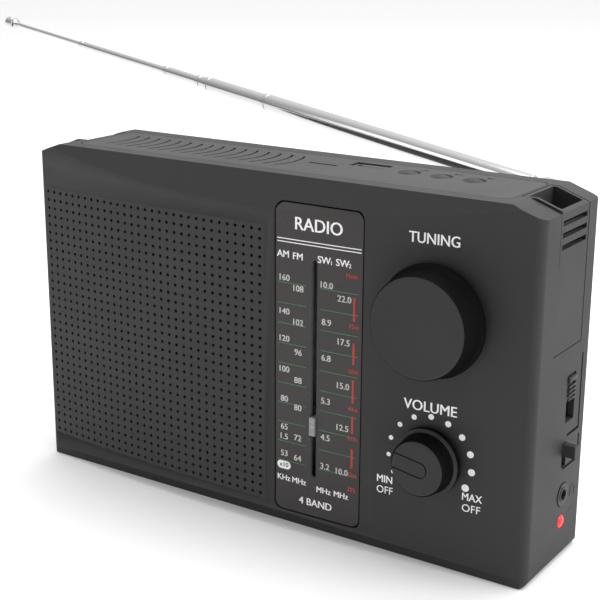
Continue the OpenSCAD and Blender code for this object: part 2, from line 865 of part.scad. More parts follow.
module ferrite_coil() color([0.75, 0.45, 0.2]) {
    difference() {
        bar_x(rod_x0 + 24, rod_x0 + 52, rod_y, rod_z, rod_r + 1.6);
        bar_x(rod_x0 + 23, rod_x0 + 53, rod_y, rod_z, rod_r + 0.1);
    }
}

module rod_holders() color([0.85, 0.85, 0.82]) {
    for (x = [rod_x0 + 8, rod_x0 + rod_l - 14])
        difference() {
            block([x, rod_y - rod_r - 1.6, rod_z - 6], [x + 6, back - wall, rod_z + 6]);
            bar_x(x - 1, x + 7, rod_y, rod_z, rod_r + shaft_gap);
        }
}

// ---- Tuning ----

// A knob turned about Y: skirt, step, gently conical side and a rounded rim
module knob(z, y_back, skirt_r, face_r, length) {
    y_face = y_back - length;
    rim = 0.8;
    turned_y(knob_x, z, [
        [shaft_r + shaft_gap, -y_back], [skirt_r, -y_back], [skirt_r, -y_back + 2],
        [face_r + 0.8, -y_back + 2.4], [face_r + 0.2, -y_face - rim], [face_r - 0.4, -y_face - 0.2],
        [face_r - 1.2, -y_face], [0, -y_face], [0, -y_face - 2],
        [shaft_r + shaft_gap, -y_face - 2]
    ]);
}

module tuning_knob() color([0.1, 0.1, 0.11])
    knob(tuning_z, tuning_back, tuning_r, tuning_face_r, tuning_l);

module tuning_shaft() color([0.7, 0.7, 0.72])
    bar_y(knob_x, tuning_back - tuning_l + 2.2, board_y - capacitor_d + bearing_l - 0.2, tuning_z,
          shaft_r);

// The drum sits on the shaft and carries the cord in its groove
module tuning_drum() color([0.85, 0.85, 0.8]) {
    groove = drum_r - cord_r - shaft_gap;
    y0 = cord_y - drum_t / 2;
    y1 = cord_y + drum_t / 2;
    turned_y(knob_x, tuning_z, [
        [shaft_r + shaft_gap, -y0], [drum_r + drum_rim, -y0], [drum_r + drum_rim, -cord_y + 0.8],
        [groove, -cord_y + 0.6], [groove, -cord_y - 0.6], [drum_r + drum_rim, -cord_y - 0.8],
        [drum_r + drum_rim, -y1], [shaft_r + shaft_gap, -y1]
    ]);
}

module tuning_capacitor() color([0.8, 0.8, 0.75]) {
    difference() {
        block([knob_x - capacitor_half, board_y - capacitor_d, tuning_z - capacitor_half],
              [knob_x + capacitor_half, board_y, tuning_z + capacitor_half]);
        bar_y(knob_x, board_y - capacitor_d - 1, board_y - capacitor_d + bearing_l, tuning_z,
              shaft_r + shaft_gap);
    }
}

// ---- Dial works ----

module dial_backplate() color([0.3, 0.3, 0.31]) {
    x0 = dial_x0 + 3;
    x1 = dial_x1 + 1;
    z0 = bottom_pulley_z - pulley_r - 2;
    z1 = top_pulley_z + pulley_r + 0.6;
    block([x0, plate_y, z0], [x1, plate_y + plate_t, z1]);
    // Rail that guides the pointer
    block([rail_x - rail_w / 2, plate_y - 2.4, travel_bottom - 5],
          [rail_x + rail_w / 2, plate_y + eps, travel_top + 5]);
    for (p = [[pulley_x, top_pulley_z], [pulley_x, bottom_pulley_z],
              [side_pulley_x, side_pulley_z]]) {
        bar_y(p[0], cord_y - pulley_t / 2 - 0.6, plate_y + eps, p[1], pin_r);
        bar_y(p[0], cord_y + pulley_t / 2 + 0.15, plate_y + eps, p[1], pin_r + 0.9);
    }
    // Feet on the main board
    for (x = [x0 + 3, x1 - 3], z = [z0 + 12, z1 - 12]) bar_y(x, plate_y, board_y, z, 2);
}

module dial_pointer() color([0.8, 0.8, 0.8]) {
    z0 = pointer_z - pointer_h / 2;
    z1 = pointer_z + pointer_h / 2;
    tab = slot_w / 2 - slide_gap / 2 - 0.05;
    block_y0 = cord_y - 1.5;
    difference() {
        union() {
            block([pointer_x - tab, bow_at(pointer_x) - 0.6, z0], [pointer_x + tab, cord_y - 1, z1]);
            block([rail_x - rail_w / 2 - 1.5, block_y0, z0],
                  [pointer_x + 1.3, plate_y - 0.4, z1]);
        }
        block([rail_x - rail_w / 2 - 0.15, plate_y - 2.55, z0 - 1],
              [rail_x + rail_w / 2 + 0.15, plate_y, z1 + 1]);
        bar_z(pointer_x, cord_y, z0 - 1, z1 + 1, cord_r + 0.15);
    }
}

module pulley(x, z) {
    groove = pulley_r - cord_r - shaft_gap;
    rim = pulley_r + pulley_rim;
    y0 = cord_y - pulley_t / 2;
    y1 = cord_y + pulley_t / 2;
    bore = pin_r + shaft_gap;
    turned_y(x, z, [
        [bore, -y0], [rim, -y0], [rim, -cord_y + 0.8], [groove, -cord_y + 0.6],
        [groove, -cord_y - 0.6], [rim, -cord_y - 0.8], [rim, -y1], [bore, -y1]
    ]);
}

module pulley_top() color([0.9, 0.9, 0.9]) pulley(pulley_x, top_pulley_z);

module pulley_bottom() color([0.9, 0.9, 0.9]) pulley(pulley_x, bottom_pulley_z);

module pulley_side() color([0.9, 0.9, 0.9]) pulley(side_pulley_x, side_pulley_z);

// Part of a cord ring about Y, from one angle to another, seen from the front
module cord_arc(x, z, r, a0, a1) {
    translate([x, cord_y, z]) rotate([90, 0, 0]) rotate([0, 0, a0])
        rotate_extrude(angle = a1 - a0) translate([r, 0]) circle(r = cord_r, $fn = 16);
}

module dial_cord() color([0.85, 0.85, 0.8]) {
    cord_arc(knob_x, tuning_z, drum_r, -90, 90);
    cord_arc(pulley_x, top_pulley_z, pulley_r, 90, 180);
    cord_arc(pulley_x, bottom_pulley_z, pulley_r, 180, 360);
    cord_arc(side_pulley_x, side_pulley_z, pulley_r, 90, 180);
    bar_x(pulley_x, knob_x, cord_y, tuning_z + drum_r, cord_r, $fn = 16);
    bar_x(side_pulley_x, knob_x, cord_y, tuning_z - drum_r, cord_r, $fn = 16);
    bar_z(pointer_x, cord_y, bottom_pulley_z, top_pulley_z, cord_r, $fn = 16);
    bar_z(pulley_x + pulley_r, cord_y, bottom_pulley_z, side_pulley_z, cord_r, $fn = 16);
}

// ---- Volume ----

module mark_outline(half, past) {
    translate([-volume_face_r - past, -half]) square([volume_face_r + past + 1, 2 * half]);
    translate([1, 0]) circle(r = half);
}

module volume_knob() color([0.1, 0.1, 0.11]) {
    y_face = volume_back - volume_l;
    difference() {
        knob(volume_z, volume_back, volume_r, volume_face_r, volume_l);
        // The pointer bar is outlined by a groove, open at the rim and round at the middle
        translate([knob_x, y_face + 0.4, volume_z]) rotate([90, mark_turn, 0])
            linear_extrude(1.4) difference() {
                mark_outline(mark_half_w + mark_line / 2, 0);
                mark_outline(mark_half_w - mark_line / 2, 1);
            }
    }
}

module volume_shaft() color([0.7, 0.7, 0.72])
    bar_y(knob_x, volume_back - volume_l + 2.2, board_y - volume_case_d + bearing_l - 0.2,
          volume_z, shaft_r);

module volume_control() color([0.6, 0.6, 0.6]) {
    difference() {
        bar_y(knob_x, board_y - volume_case_d, board_y, volume_z, 8.4);
        bar_y(knob_x, board_y - volume_case_d - 1, board_y - volume_case_d + bearing_l, volume_z,
              shaft_r + shaft_gap);
    }
}

// ---- Sockets and buttons of the top ----

module usb_socket() color([0.75, 0.75, 0.76]) {
    z0 = media_z + board_t;
    z1 = body_h - 0.6;
    difference() {
        block([usb_x - usb_w / 2, usb_y - usb_d / 2, z0], [usb_x + usb_w / 2, usb_y + usb_d / 2, z1]);
        block([usb_x - usb_w / 2 + usb_wall, usb_y - usb_d / 2 + usb_wall, z0 + 1],
              [usb_x + usb_w / 2 - usb_wall, usb_y + usb_d / 2 - usb_wall, z1 + 1]);
    }
    block([usb_x - 5.6, usb_y + 0.2, z0 + 0.5], [usb_x + 5.6, usb_y + 2, z1 - 0.6]);
}

module card_socket() color([0.75, 0.75, 0.76]) {
    z0 = media_z + board_t;
    z1 = panel_z - 0.3;
    difference() {
        block([card_x - card_w / 2, card_y - card_d / 2, z0],
              [card_x + card_w / 2, card_y + card_d / 2, z1]);
        block([card_x - 5.6, card_y - 0.45, z0 + 1], [card_x + 5.6, card_y + 0.45, z1 + 1]);
    }
}

module button_switches() color([0.3, 0.3, 0.3]) {
    z0 = media_z + board_t;
    for (i = [0:2]) {
        bx = buttons_x + i * button_pitch;
        block([bx - 3, button_y - 3, z0], [bx + 3, button_y + 3, z0 + switch_h]);
        bar_z(bx, button_y, z0 + switch_h - eps, z0 + switch_h + 1.2, 1.6);
    }
}

// A domed cap with a collar under the panel and a stem down to its switch
module play_button(i) {
    bx = buttons_x + i * button_pitch;
    stem_z = media_z + board_t + switch_h + 1.2 + button_travel + 0.1;
    collar_z = panel_z - 0.2;
    bar_z(bx, button_y, stem_z, collar_z, 1.4);
    bar_z(bx, button_y, collar_z - 1, collar_z, button_r + 0.9);
    bar_z(bx, button_y, collar_z - eps, body_h - 0.4, button_r);
    translate([bx, button_y, body_h - 0.4 - eps]) dome(button_r, 0.9);
}

module button_previous() color([0.12, 0.12, 0.13]) play_button(0);

module button_play() color([0.12, 0.12, 0.13]) play_button(1);

module button_next() color([0.12, 0.12, 0.13]) play_button(2);

// ---- Right side ----

module band_switch() color([0.7, 0.7, 0.7]) {
    difference() {
        block([switch_x0, side_y - band_slot_w / 2 - 1.6, band_z - 2],
              [switch_x0 + switch_case_d, side_y + band_slot_w / 2 + 1.6, band_z + band_slot_h + 2]);
        block([switch_x0 + 1.4, side_y - 1.8, band_z + 0.4],
              [switch_x0 + 6, side_y + 1.8, band_z + band_slot_h - 0.4]);
    }
}

module band_slider() color([0.15, 0.15, 0.16]) {
    z1 = band_z + band_slot_h - slide_gap;
    z0 = z1 - band_slider_h;
    block([switch_x0 + 1.8, side_y - 1.5, z0 + 3], [switch_x0 + 6, side_y + 1.5, z1 - 3]);
    block([switch_x0 + 5.3, side_y - band_slot_w / 2 + slide_gap, z0],
          [right - 0.6, side_y + band_slot_w / 2 - slide_gap, z1]);
    // Thumb ridge
    block([right - 0.6 - eps, side_y - band_slot_w / 2 + slide_gap, z1 - 2.2],
          [right + 0.8, side_y + band_slot_w / 2 - slide_gap, z1 - 0.4]);
}

module mode_switch() color([0.7, 0.7, 0.7]) {
    difference() {
        block([switch_x0, mode_y - 3.6, mode_z - 1],
              [switch_x0 + switch_case_d, mode_y + 3.6, mode_z + mode_slot_h + 1]);
        block([switch_x0 + 1.4, mode_y - 1.2, mode_z + 0.4],
              [switch_x0 + 6, mode_y + 1.2, mode_z + mode_slot_h - 0.4]);
    }
}

module mode_slider() color([0.15, 0.15, 0.16]) {
    z1 = mode_z + mode_slot_h - slide_gap;
    z0 = z1 - mode_slider_h;
    half = mode_slot_w / 2 - slide_gap;
    block([switch_x0 + 1.8, mode_y - 0.9, z0 + 0.6], [switch_x0 + 6, mode_y + 0.9, z1 - 0.6]);
    block([switch_x0 + 5.3, mode_y - half, z0], [right + mode_slider_out, mode_y + half, z1]);
}

module headphone_socket() color([0.08, 0.08, 0.08]) {
    difference() {
        union() {
            block([switch_x0, jack_y - 5.5, jack_z - 5], [switch_x1, jack_y + 5.5, jack_z + 5]);
            bar_x(switch_x1 - eps, right + 0.3, jack_y, jack_z, collar_r);
        }
        bar_x(switch_x0 + 1, right + 1, jack_y, jack_z, plug_r);
    }
}

module power_light() color([0.85, 0.1, 0.05]) {
    bar_x(switch_x0, right + 0.1, led_y, led_z, led_r);
    translate([right + 0.1 - eps, led_y, led_z]) rotate([0, 90, 0]) dome(led_r, 0.9);
}

// ---- Aerial ----

// The aerial's frame: its tubes run along -X from the hinge
module on_swivel() {
    translate([aerial_x, aerial_y, aerial_z]) rotate([0, aerial_rise, 0]) children();
}

module on_aerial() {
    on_swivel() rotate([0, 0, -aerial_lean]) children();
}

module aerial_mount() color([0.75, 0.75, 0.76]) {
    difference() {
        union() {
            block([aerial_x - 7.2, back, aerial_z - 11.1],
                  [aerial_x + 7.2, back + mount_t, aerial_z + 5]);
            bar_y(aerial_x, back, back + mount_t + swivel_t + 0.5, aerial_z, 2);
        }
        at_posts(mount_posts) bar_y(0, back - 1, back + mount_t + 1, 0, screw_r);
    }
}

module aerial_swivel() color([0.78, 0.78, 0.8]) {
    y0 = mount_t + swivel_t + back - aerial_y;
    half = tongue_t / 2 + fork_gap;
    on_swivel() difference() {
        union() {
            translate([0, y0 - swivel_t + 0.1, 0]) rotate([-90, 0, 0])
                cylinder(r = swivel_r, h = swivel_t + 1);
            for (s = [-1, 1])
                translate([0, 0, s * (half + ear_t / 2)]) {
                    translate([-2.8, y0, -ear_t / 2]) cube([5.6, -y0, ear_t]);
                    translate([0, 0, -ear_t / 2]) cylinder(r = 2.8, h = ear_t);
                }
        }
        translate([0, y0 - swivel_t, 0]) rotate([-90, 0, 0])
            cylinder(r = 2 + shaft_gap, h = swivel_t + 0.7);
        translate([0, 0, -10]) cylinder(r = aerial_pin_r + 0.02, h = 20);
    }
}

module aerial_pin() color([0.85, 0.85, 0.86]) {
    reach = tongue_t / 2 + fork_gap + ear_t;
    on_swivel() {
        translate([0, 0, -reach]) cylinder(r = aerial_pin_r, h = 2 * reach);
        for (s = [0, 1]) mirror([0, 0, s])
            translate([0, 0, reach + 0.02]) cylinder(r = aerial_pin_r + 0.7, h = 0.6);
    }
}

// Tube number i of the aerial, hollow, with its turned-in lip at the open end
module aerial_tube(i) {
    on_aerial() rotate([0, -90, 0])
        difference() {
            translate([0, 0, tube_end(i) - tube_len(i)]) cylinder(r = tube_r(i), h = tube_len(i));
            translate([0, 0, tube_end(i) - tube_len(i) - 1])
                cylinder(r = tube_r(i) - tube_wall, h = tube_len(i) + 2);
        }
}

module aerial_tube_1() color([0.85, 0.85, 0.86]) {
    start = aerial_l - tube_len(0);
    on_aerial() rotate([0, -90, 0])
        difference() {
            union() {
                translate([0, 0, start]) cylinder(r = aerial_r, h = tube_len(0));
                intersection() {
                    cylinder(r = 2.6, h = start + 1);
                    translate([-tongue_t / 2, -10, -10]) cube([tongue_t, 20, 30]);
                }
                rotate([0, 90, 0]) translate([0, 0, -tongue_t / 2])
                    cylinder(r = 2.6, h = tongue_t);
            }
            translate([0, 0, start + 2])
                cylinder(r = aerial_r - tube_wall, h = tube_len(0) + 2);
            rotate([0, 90, 0]) translate([0, 0, -5])
                cylinder(r = aerial_pin_r + shaft_gap, h = 10);
        }
}

module aerial_tube_2() color([0.85, 0.85, 0.86]) aerial_tube(1);

module aerial_tube_3() color([0.85, 0.85, 0.86]) aerial_tube(2);

module aerial_tube_4() color([0.85, 0.85, 0.86]) aerial_tube(3);

module aerial_tube_5() color([0.85, 0.85, 0.86]) aerial_tube(4);

// The thinnest piece is solid and carries the end cap
module aerial_rod() color([0.85, 0.85, 0.86]) {
    cap_r = aerial_r - 0.8;
    cap_l = 6.5;
    on_aerial() rotate([0, -90, 0]) translate([0, 0, tube_end(5)]) {
        translate([0, 0, -tube_len(5)]) cylinder(r = tube_r(5), h = tube_len(5));
        translate([0, 0, 0.3]) cylinder(r = cap_r, h = cap_l);
        translate([0, 0, -eps]) cylinder(r = tube_r(5), h = 1);
    }
}

front_shell();
speaker_grille();
dial_lens();
top_panel();
rear_shell();
strap_bracket_left();
strap_bracket_right();
battery_door();
battery_cells();
battery_contacts();
battery_springs();
case_screws();
speaker_basket();
speaker_cone();
speaker_magnet();
speaker_screws();
main_board();
board_components();
board_screws();
side_board();
media_board();
ferrite_rod();
ferrite_coil();
rod_holders();
tuning_knob();
tuning_shaft();
tuning_drum();
tuning_capacitor();
dial_backplate();
dial_pointer();
pulley_top();
pulley_bottom();
pulley_side();
dial_cord();
volume_knob();
volume_shaft();
volume_control();
usb_socket();
card_socket();
button_switches();
button_previous();
button_play();
button_next();
band_switch();
band_slider();
mode_switch();
mode_slider();
headphone_socket();
power_light();
aerial_mount();
aerial_swivel();
aerial_pin();
aerial_tube_1();
aerial_tube_2();
aerial_tube_3();
aerial_tube_4();
aerial_tube_5();
aerial_rod();
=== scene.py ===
"""Looks of a portable four-band radio receiver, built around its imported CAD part.

Lengths in the classes are millimetres in the part's own frame: +X to the
listener's right, +Y to the back, +Z up, origin in the middle of the flat bottom.
"""

from __future__ import annotations

import json
import logging
import math
from dataclasses import dataclass, field
from enum import Enum
from functools import lru_cache
from typing import Any, Callable, Iterable, Sequence

import bmesh
import bpy
from mathutils import Matrix, Vector

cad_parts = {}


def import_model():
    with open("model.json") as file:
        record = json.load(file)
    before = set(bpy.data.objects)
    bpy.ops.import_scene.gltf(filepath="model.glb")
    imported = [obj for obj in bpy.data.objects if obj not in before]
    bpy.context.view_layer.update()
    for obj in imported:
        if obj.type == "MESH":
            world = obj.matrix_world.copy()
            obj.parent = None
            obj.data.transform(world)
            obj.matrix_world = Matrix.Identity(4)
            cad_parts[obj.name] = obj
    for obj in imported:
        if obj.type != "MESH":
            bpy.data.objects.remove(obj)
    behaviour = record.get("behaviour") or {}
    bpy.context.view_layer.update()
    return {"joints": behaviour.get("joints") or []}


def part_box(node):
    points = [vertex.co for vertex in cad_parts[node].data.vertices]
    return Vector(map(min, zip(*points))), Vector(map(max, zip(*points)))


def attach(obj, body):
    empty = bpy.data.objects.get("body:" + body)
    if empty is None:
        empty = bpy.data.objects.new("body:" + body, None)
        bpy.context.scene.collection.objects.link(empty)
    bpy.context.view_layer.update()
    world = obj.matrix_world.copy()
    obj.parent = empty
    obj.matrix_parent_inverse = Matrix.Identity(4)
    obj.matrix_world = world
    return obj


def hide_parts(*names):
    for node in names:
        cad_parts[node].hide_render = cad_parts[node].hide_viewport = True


LOG = logging.getLogger("receiver")
MM = 0.001
SMOOTH_UP_TO = math.radians(32)
FLAT_UP_TO = math.radians(0.4)
WELD = 0.003
SLIVER = 0.002
DUST = (0.42, 0.41, 0.39, 1.0)
WAVE_SPAN = 0.314  # metres between two bands of a wave texture at scale 1
Point = tuple[float, float, float]
Profile = Sequence[tuple[float, float]]


# ---------------------------------------------------------------- finishes


class Tree:
    """Short calls for building one node tree."""

    def __init__(self, tree: bpy.types.NodeTree) -> None:
        """Keeps the tree that the calls add to."""
        self.tree = tree

    def node(self, kind: str, inputs: dict[Any, Any] | None = None, **settings: Any) -> Any:
        """Adds a node.

        Args:
            kind: Node type without its "ShaderNode" prefix.
            inputs: Values or output sockets for the node's inputs, by name or index.
            settings: Attributes of the node itself.

        Returns:
            The new node.
        """
        made = self.tree.nodes.new("ShaderNode" + kind)
        for name, value in settings.items():
            setattr(made, name, value)
        for name, value in (inputs or {}).items():
            if isinstance(value, bpy.types.NodeSocket):
                self.tree.links.new(value, made.inputs[name])
            else:
                made.inputs[name].default_value = value
        return made

    def math(self, operation: str, *values: Any) -> Any:
        """Returns the output of a Math node on up to three values."""
        return self.node("Math", dict(enumerate(values)), operation=operation).outputs[0]

    def mix(self, factor: Any, first: Any, second: Any) -> Any:
        """Returns a colour between first and second by factor."""
        made = self.node("Mix", {0: factor, 6: first, 7: second}, data_type="RGBA")
        return made.outputs[2]

    def scaled(self, source: Any, factor: float, base: Any = 0.0) -> Any:
        """Returns source times factor, on top of base."""
        return self.math("MULTIPLY_ADD", source, factor, base)

    def noise(self, where: Any, scale: Any, detail: float = 2.0, rough: float = 0.5,
              distortion: float = 0.0) -> Any:
        """Returns a noise from 0 to 1."""
        return self.node("TexNoise", {"Vector": where, "Scale": scale, "Detail": detail,
                                      "Roughness": rough,
                                      "Distortion": distortion}).outputs["Fac"]

    def ramp(self, source: Any, low: float, high: float, first: float = 0.0,
             last: float = 1.0) -> Any:
        """Returns first to last, clamped, as source goes from low to high."""
        return self.node("MapRange", {"Value": source, 1: low, 2: high, 3: first,
                                      4: last}).outputs[0]

    def bump(self, height: Any, strength: float, distance: float) -> Any:
        """Returns the normal of a relief whose full height is distance, in metres."""
        return self.node("Bump", {"Strength": strength, "Distance": distance,
                                  "Height": height}).outputs[0]


def make_group(name: str, inputs: dict[str, Any], outputs: dict[str, str],
               build: Callable[[Tree, Any], dict[str, Any]]) -> bpy.types.NodeTree:
    """Makes a shader node group once.

    Args:
        name: The group's name.
        inputs: Default of each input; a tuple makes it a vector.
        outputs: Socket type of each output.
        build: Fills the tree, given it and its input node, and returns each output's source.

    Returns:
        The node group, which is reused when it exists.
    """
    if name in bpy.data.node_groups:
        return bpy.data.node_groups[name]
    group = bpy.data.node_groups.new(name, "ShaderNodeTree")
    for socket, default in inputs.items():
        vector = isinstance(default, tuple)
        made = group.interface.new_socket(
            name=socket, in_out="INPUT",
            socket_type="NodeSocketVector" if vector else "NodeSocketFloat")
        if not vector:
            made.default_value = default
    for socket, kind in outputs.items():
        group.interface.new_socket(name=socket, in_out="OUTPUT", socket_type=kind)
    start = group.nodes.new("NodeGroupInput")
    end = group.nodes.new("NodeGroupOutput")
    for socket, source in build(Tree(group), start).items():
        group.links.new(source, end.inputs[socket])
    return group


def mould_grain() -> bpy.types.NodeTree:
    """Returns the group for the fine pebbled skin of a spark-eroded mould."""
    def build(tree: Tree, start: Any) -> dict[str, Any]:
        """Pebbles with a finer noise between them."""
        where, scale = start.outputs["Vector"], start.outputs["Scale"]
        pebbles = tree.node("TexVoronoi", {"Vector": where, "Scale": scale},
                            feature="SMOOTH_F1").outputs["Distance"]
        fine = tree.noise(where, tree.math("MULTIPLY", scale, 0.6), 4.0, 0.65)
        return {"Height": tree.scaled(pebbles, 0.5, fine), "Fine": fine}
    return make_group("mould grain", {"Vector": (0, 0, 0), "Scale": 3000.0},
                      {"Height": "NodeSocketFloat", "Fine": "NodeSocketFloat"}, build)


def handling() -> bpy.types.NodeTree:
    """Returns the group for patches of handling and fine rub marks: masks from 0 to 1."""
    def build(tree: Tree, start: Any) -> dict[str, Any]:
        """Cloudy patches, with long thin marks inside them."""
        where = start.outputs["Vector"]
        patches = tree.ramp(tree.noise(where, 22.0, 5.0, 0.6, 0.4), 0.38, 0.68)
        along = tree.node("Mapping", {"Vector": where, "Rotation": (0.3, 0.5, 0.9),
                                      "Scale": (260.0, 260.0, 9.0)}).outputs[0]
        marks = tree.ramp(tree.noise(along, 1.0), 0.66, 0.78)
        return {"Patches": patches, "Marks": tree.math("MULTIPLY", marks, patches)}
    return make_group("handling", {"Vector": (0, 0, 0)},
                      {"Patches": "NodeSocketFloat", "Marks": "NodeSocketFloat"}, build)


def settled_dust() -> bpy.types.NodeTree:
    """Returns the group for thin dust on faces that look up: a mask from 0 to Amount."""
    def build(tree: Tree, start: Any) -> dict[str, Any]:
        """Motes where the face looks up."""
        normal = tree.node("NewGeometry").outputs["Normal"]
        level = tree.ramp(tree.node("SeparateXYZ", {0: normal}).outputs["Z"], 0.55, 1.0)
        spread = tree.ramp(tree.noise(start.outputs["Vector"], 900.0, 6.0, 0.7), 0.35, 0.75)
        return {"Mask": tree.math("MULTIPLY", tree.math("MULTIPLY", level, spread),
                                  start.outputs["Amount"])}
    return make_group("settled dust", {"Vector": (0, 0, 0), "Amount": 0.1},
                      {"Mask": "NodeSocketFloat"}, build)


@dataclass(frozen=True)
class Finish:
    """A surface finish: the start of every material here."""

    name: str
    colour: Point
    roughness: float = 0.5

    def material(self) -> bpy.types.Material:
        """Returns the finish as a material, made once."""
        if self.name in bpy.data.materials:
            return bpy.data.materials[self.name]
        made = bpy.data.materials.new(self.name)
        made.use_nodes = True
        made.diffuse_color = (*self.colour, 1.0)
        tree = Tree(made.node_tree)
        shader = made.node_tree.nodes["Principled BSDF"]
        where = tree.node("TexCoord").outputs["Object"]
        self.dress(tree, shader, where)
        return made

    def dress(self, tree: Tree, shader: Any, where: Any) -> None:
        """Fills the shader: each kind of finish has its own."""
        raise NotImplementedError

    def shade(self, factor: float) -> tuple[float, float, float, float]:
        """Returns the colour, lighter or darker by factor, with full alpha."""
        return (*(min(1.0, part * factor) for part in self.colour), 1.0)

    @staticmethod
    def feed(tree: Tree, node: Any, **sources: Any) -> None:
        """Links or sets a node's inputs; underscores stand for spaces."""
        for name, source in sources.items():
            socket = node.inputs[name.replace("_", " ")]
            if isinstance(source, bpy.types.NodeSocket):
                tree.tree.links.new(source, socket)
            else:
                socket.default_value = source


@dataclass(frozen=True)
class MouldedPlastic(Finish):
    """Injection-moulded plastic with a matt or satin textured skin."""

    grain: float = 2600.0
    depth: float = 0.25
    gloss: float = 0.4
    tone: float = 0.18
    dust: float = 0.05
    wear: float = 0.35
    rub: float = 0.25

    def dress(self, tree: Tree, shader: Any, where: Any) -> None:
        """Colour from grain, handling and dust; bump from the grain."""
        grain = tree.node("Group", {"Vector": where, "Scale": self.grain},
                          node_tree=mould_grain())
        hands = tree.node("Group", {"Vector": where}, node_tree=handling())
        dust = tree.node("Group", {"Vector": where, "Amount": self.dust},
                         node_tree=settled_dust())
        fine, patches = grain.outputs["Fine"], hands.outputs["Patches"]
        base = tree.mix(fine, self.shade(1 - self.tone), self.shade(1 + self.tone))
        base = tree.mix(tree.scaled(patches, self.wear), base, self.shade(0.8))
        base = tree.mix(tree.scaled(hands.outputs["Marks"], self.rub), base, self.shade(1.9))
        base = tree.mix(dust.outputs["Mask"], base, DUST)
        rough = tree.scaled(fine, 0.08, tree.scaled(patches, -0.09, self.roughness))
        self.feed(tree, shader, Base_Color=base, Roughness=rough,
                  Normal=tree.bump(grain.outputs["Height"], self.depth, 0.00006),
                  Specular_IOR_Level=self.gloss)


@dataclass(frozen=True)
class DialGloss(Finish):
    """Clear dial lens over a dark printed scale: deep colour under a polished face."""

    def dress(self, tree: Tree, shader: Any, where: Any) -> None:
        """Smudges in the gloss and a faint cloud in the colour."""
        hands = tree.node("Group", {"Vector": where}, node_tree=handling())
        cloud = tree.noise(where, 60.0, 3.0)
        self.feed(tree, shader, Base_Color=tree.mix(cloud, self.shade(0.88), self.shade(1.12)),
                  Roughness=tree.scaled(hands.outputs["Patches"], 0.08, self.roughness),
                  Normal=tree.bump(cloud, 0.05, 0.0001), Coat_Weight=0.1, Coat_Roughness=0.06,
                  Specular_IOR_Level=0.35)


@dataclass(frozen=True)
class Ink(Finish):
    """Printed ink, slightly uneven where the pad lifted."""

    def dress(self, tree: Tree, shader: Any, where: Any) -> None:
        """Fine speckle in the colour and the sheen."""
        speckle = tree.noise(where, 2400.0, 3.0)
        self.feed(tree, shader, Base_Color=tree.mix(speckle, self.shade(0.86), self.shade(1.08)),
                  Roughness=tree.scaled(speckle, 0.1, self.roughness))


@dataclass(frozen=True)
class Metal(Finish):
    """Plated or drawn metal, with fine draw lines along one direction."""

    stretch: Point = (4000.0, 4000.0, 60.0)
    turn: Point = (0.0, 0.0, 0.0)
    lines: float = 0.1
    tarnish: float = 0.12

    def dress(self, tree: Tree, shader: Any, where: Any) -> None:
        """Metallic colour with draw lines and a few dull patches."""
        hands = tree.node("Group", {"Vector": where}, node_tree=handling())
        along = tree.node("Mapping", {"Vector": where, "Rotation": self.turn,
                                      "Scale": self.stretch}).outputs[0]
        drawn = tree.noise(along, 1.0, 3.0)
        dull = tree.scaled(hands.outputs["Patches"], self.tarnish)
        rough = tree.scaled(dull, 0.5, tree.scaled(drawn, self.lines, self.roughness))
        self.feed(tree, shader, Base_Color=tree.mix(dull, self.shade(1.0), self.shade(0.72)),
                  Roughness=rough, Normal=tree.bump(drawn, 0.06, 0.00003), Metallic=1.0)


@dataclass(frozen=True)
class Banded(Finish):
    """Something wound or wrapped: bands across one axis, such as wire or a printed sleeve."""

    second: Point = (0.1, 0.1, 0.1)
    pitch: float = 0.5
    across: str = "X"
    metallic: float = 0.0
    soft: float = 0.5

    def dress(self, tree: Tree, shader: Any, where: Any) -> None:
        """Alternating bands with a rounded bump."""
        wave = tree.node("TexWave", {"Vector": where, "Scale": WAVE_SPAN / (self.pitch * MM),
                                     "Distortion": 0.15, "Detail": 1.0},
                         bands_direction=self.across).outputs["Fac"]
        wave = tree.ramp(wave, 0.5 - self.soft, 0.5 + self.soft)
        speckle = tree.noise(where, 700.0)
        base = tree.mix(wave, (*self.second, 1.0), self.shade(1.0))
        self.feed(tree, shader,
                  Base_Color=tree.mix(tree.scaled(speckle, 0.25), base, self.shade(0.6)),
                  Roughness=tree.scaled(speckle, 0.15, self.roughness),
                  Normal=tree.bump(wave, 0.4, 0.0001), Metallic=self.metallic)


@dataclass(frozen=True)
class Laminate(Finish):
    """Circuit board: green lacquer over copper tracks."""

    def dress(self, tree: Tree, shader: Any, where: Any) -> None:
        """Cells with lighter tracks between them."""
        cells = tree.node("TexVoronoi", {"Vector": where, "Scale": 210.0},
                          feature="DISTANCE_TO_EDGE", distance="EUCLIDEAN").outputs["Distance"]
        track = tree.ramp(cells, 0.04, 0.07, 1.0, 0.0)
        self.feed(tree, shader, Base_Color=tree.mix(track, self.shade(1.0), self.shade(1.9)),
                  Roughness=tree.scaled(track, -0.1, self.roughness),
                  Normal=tree.bump(track, 0.3, 0.0001))


@dataclass(frozen=True)
class Lamp(Finish):
    """A lit coloured lens."""

    glow: float = 0.45

    def dress(self, tree: Tree, shader: Any, where: Any) -> None:
        """Colour with a faint moulded swirl, lit from inside."""
        base = tree.mix(tree.noise(where, 500.0), self.shade(0.8), self.shade(1.15))
        self.feed(tree, shader, Base_Color=base, Emission_Color=base, Roughness=self.roughness,
                  Emission_Strength=self.glow, Coat_Weight=0.15)


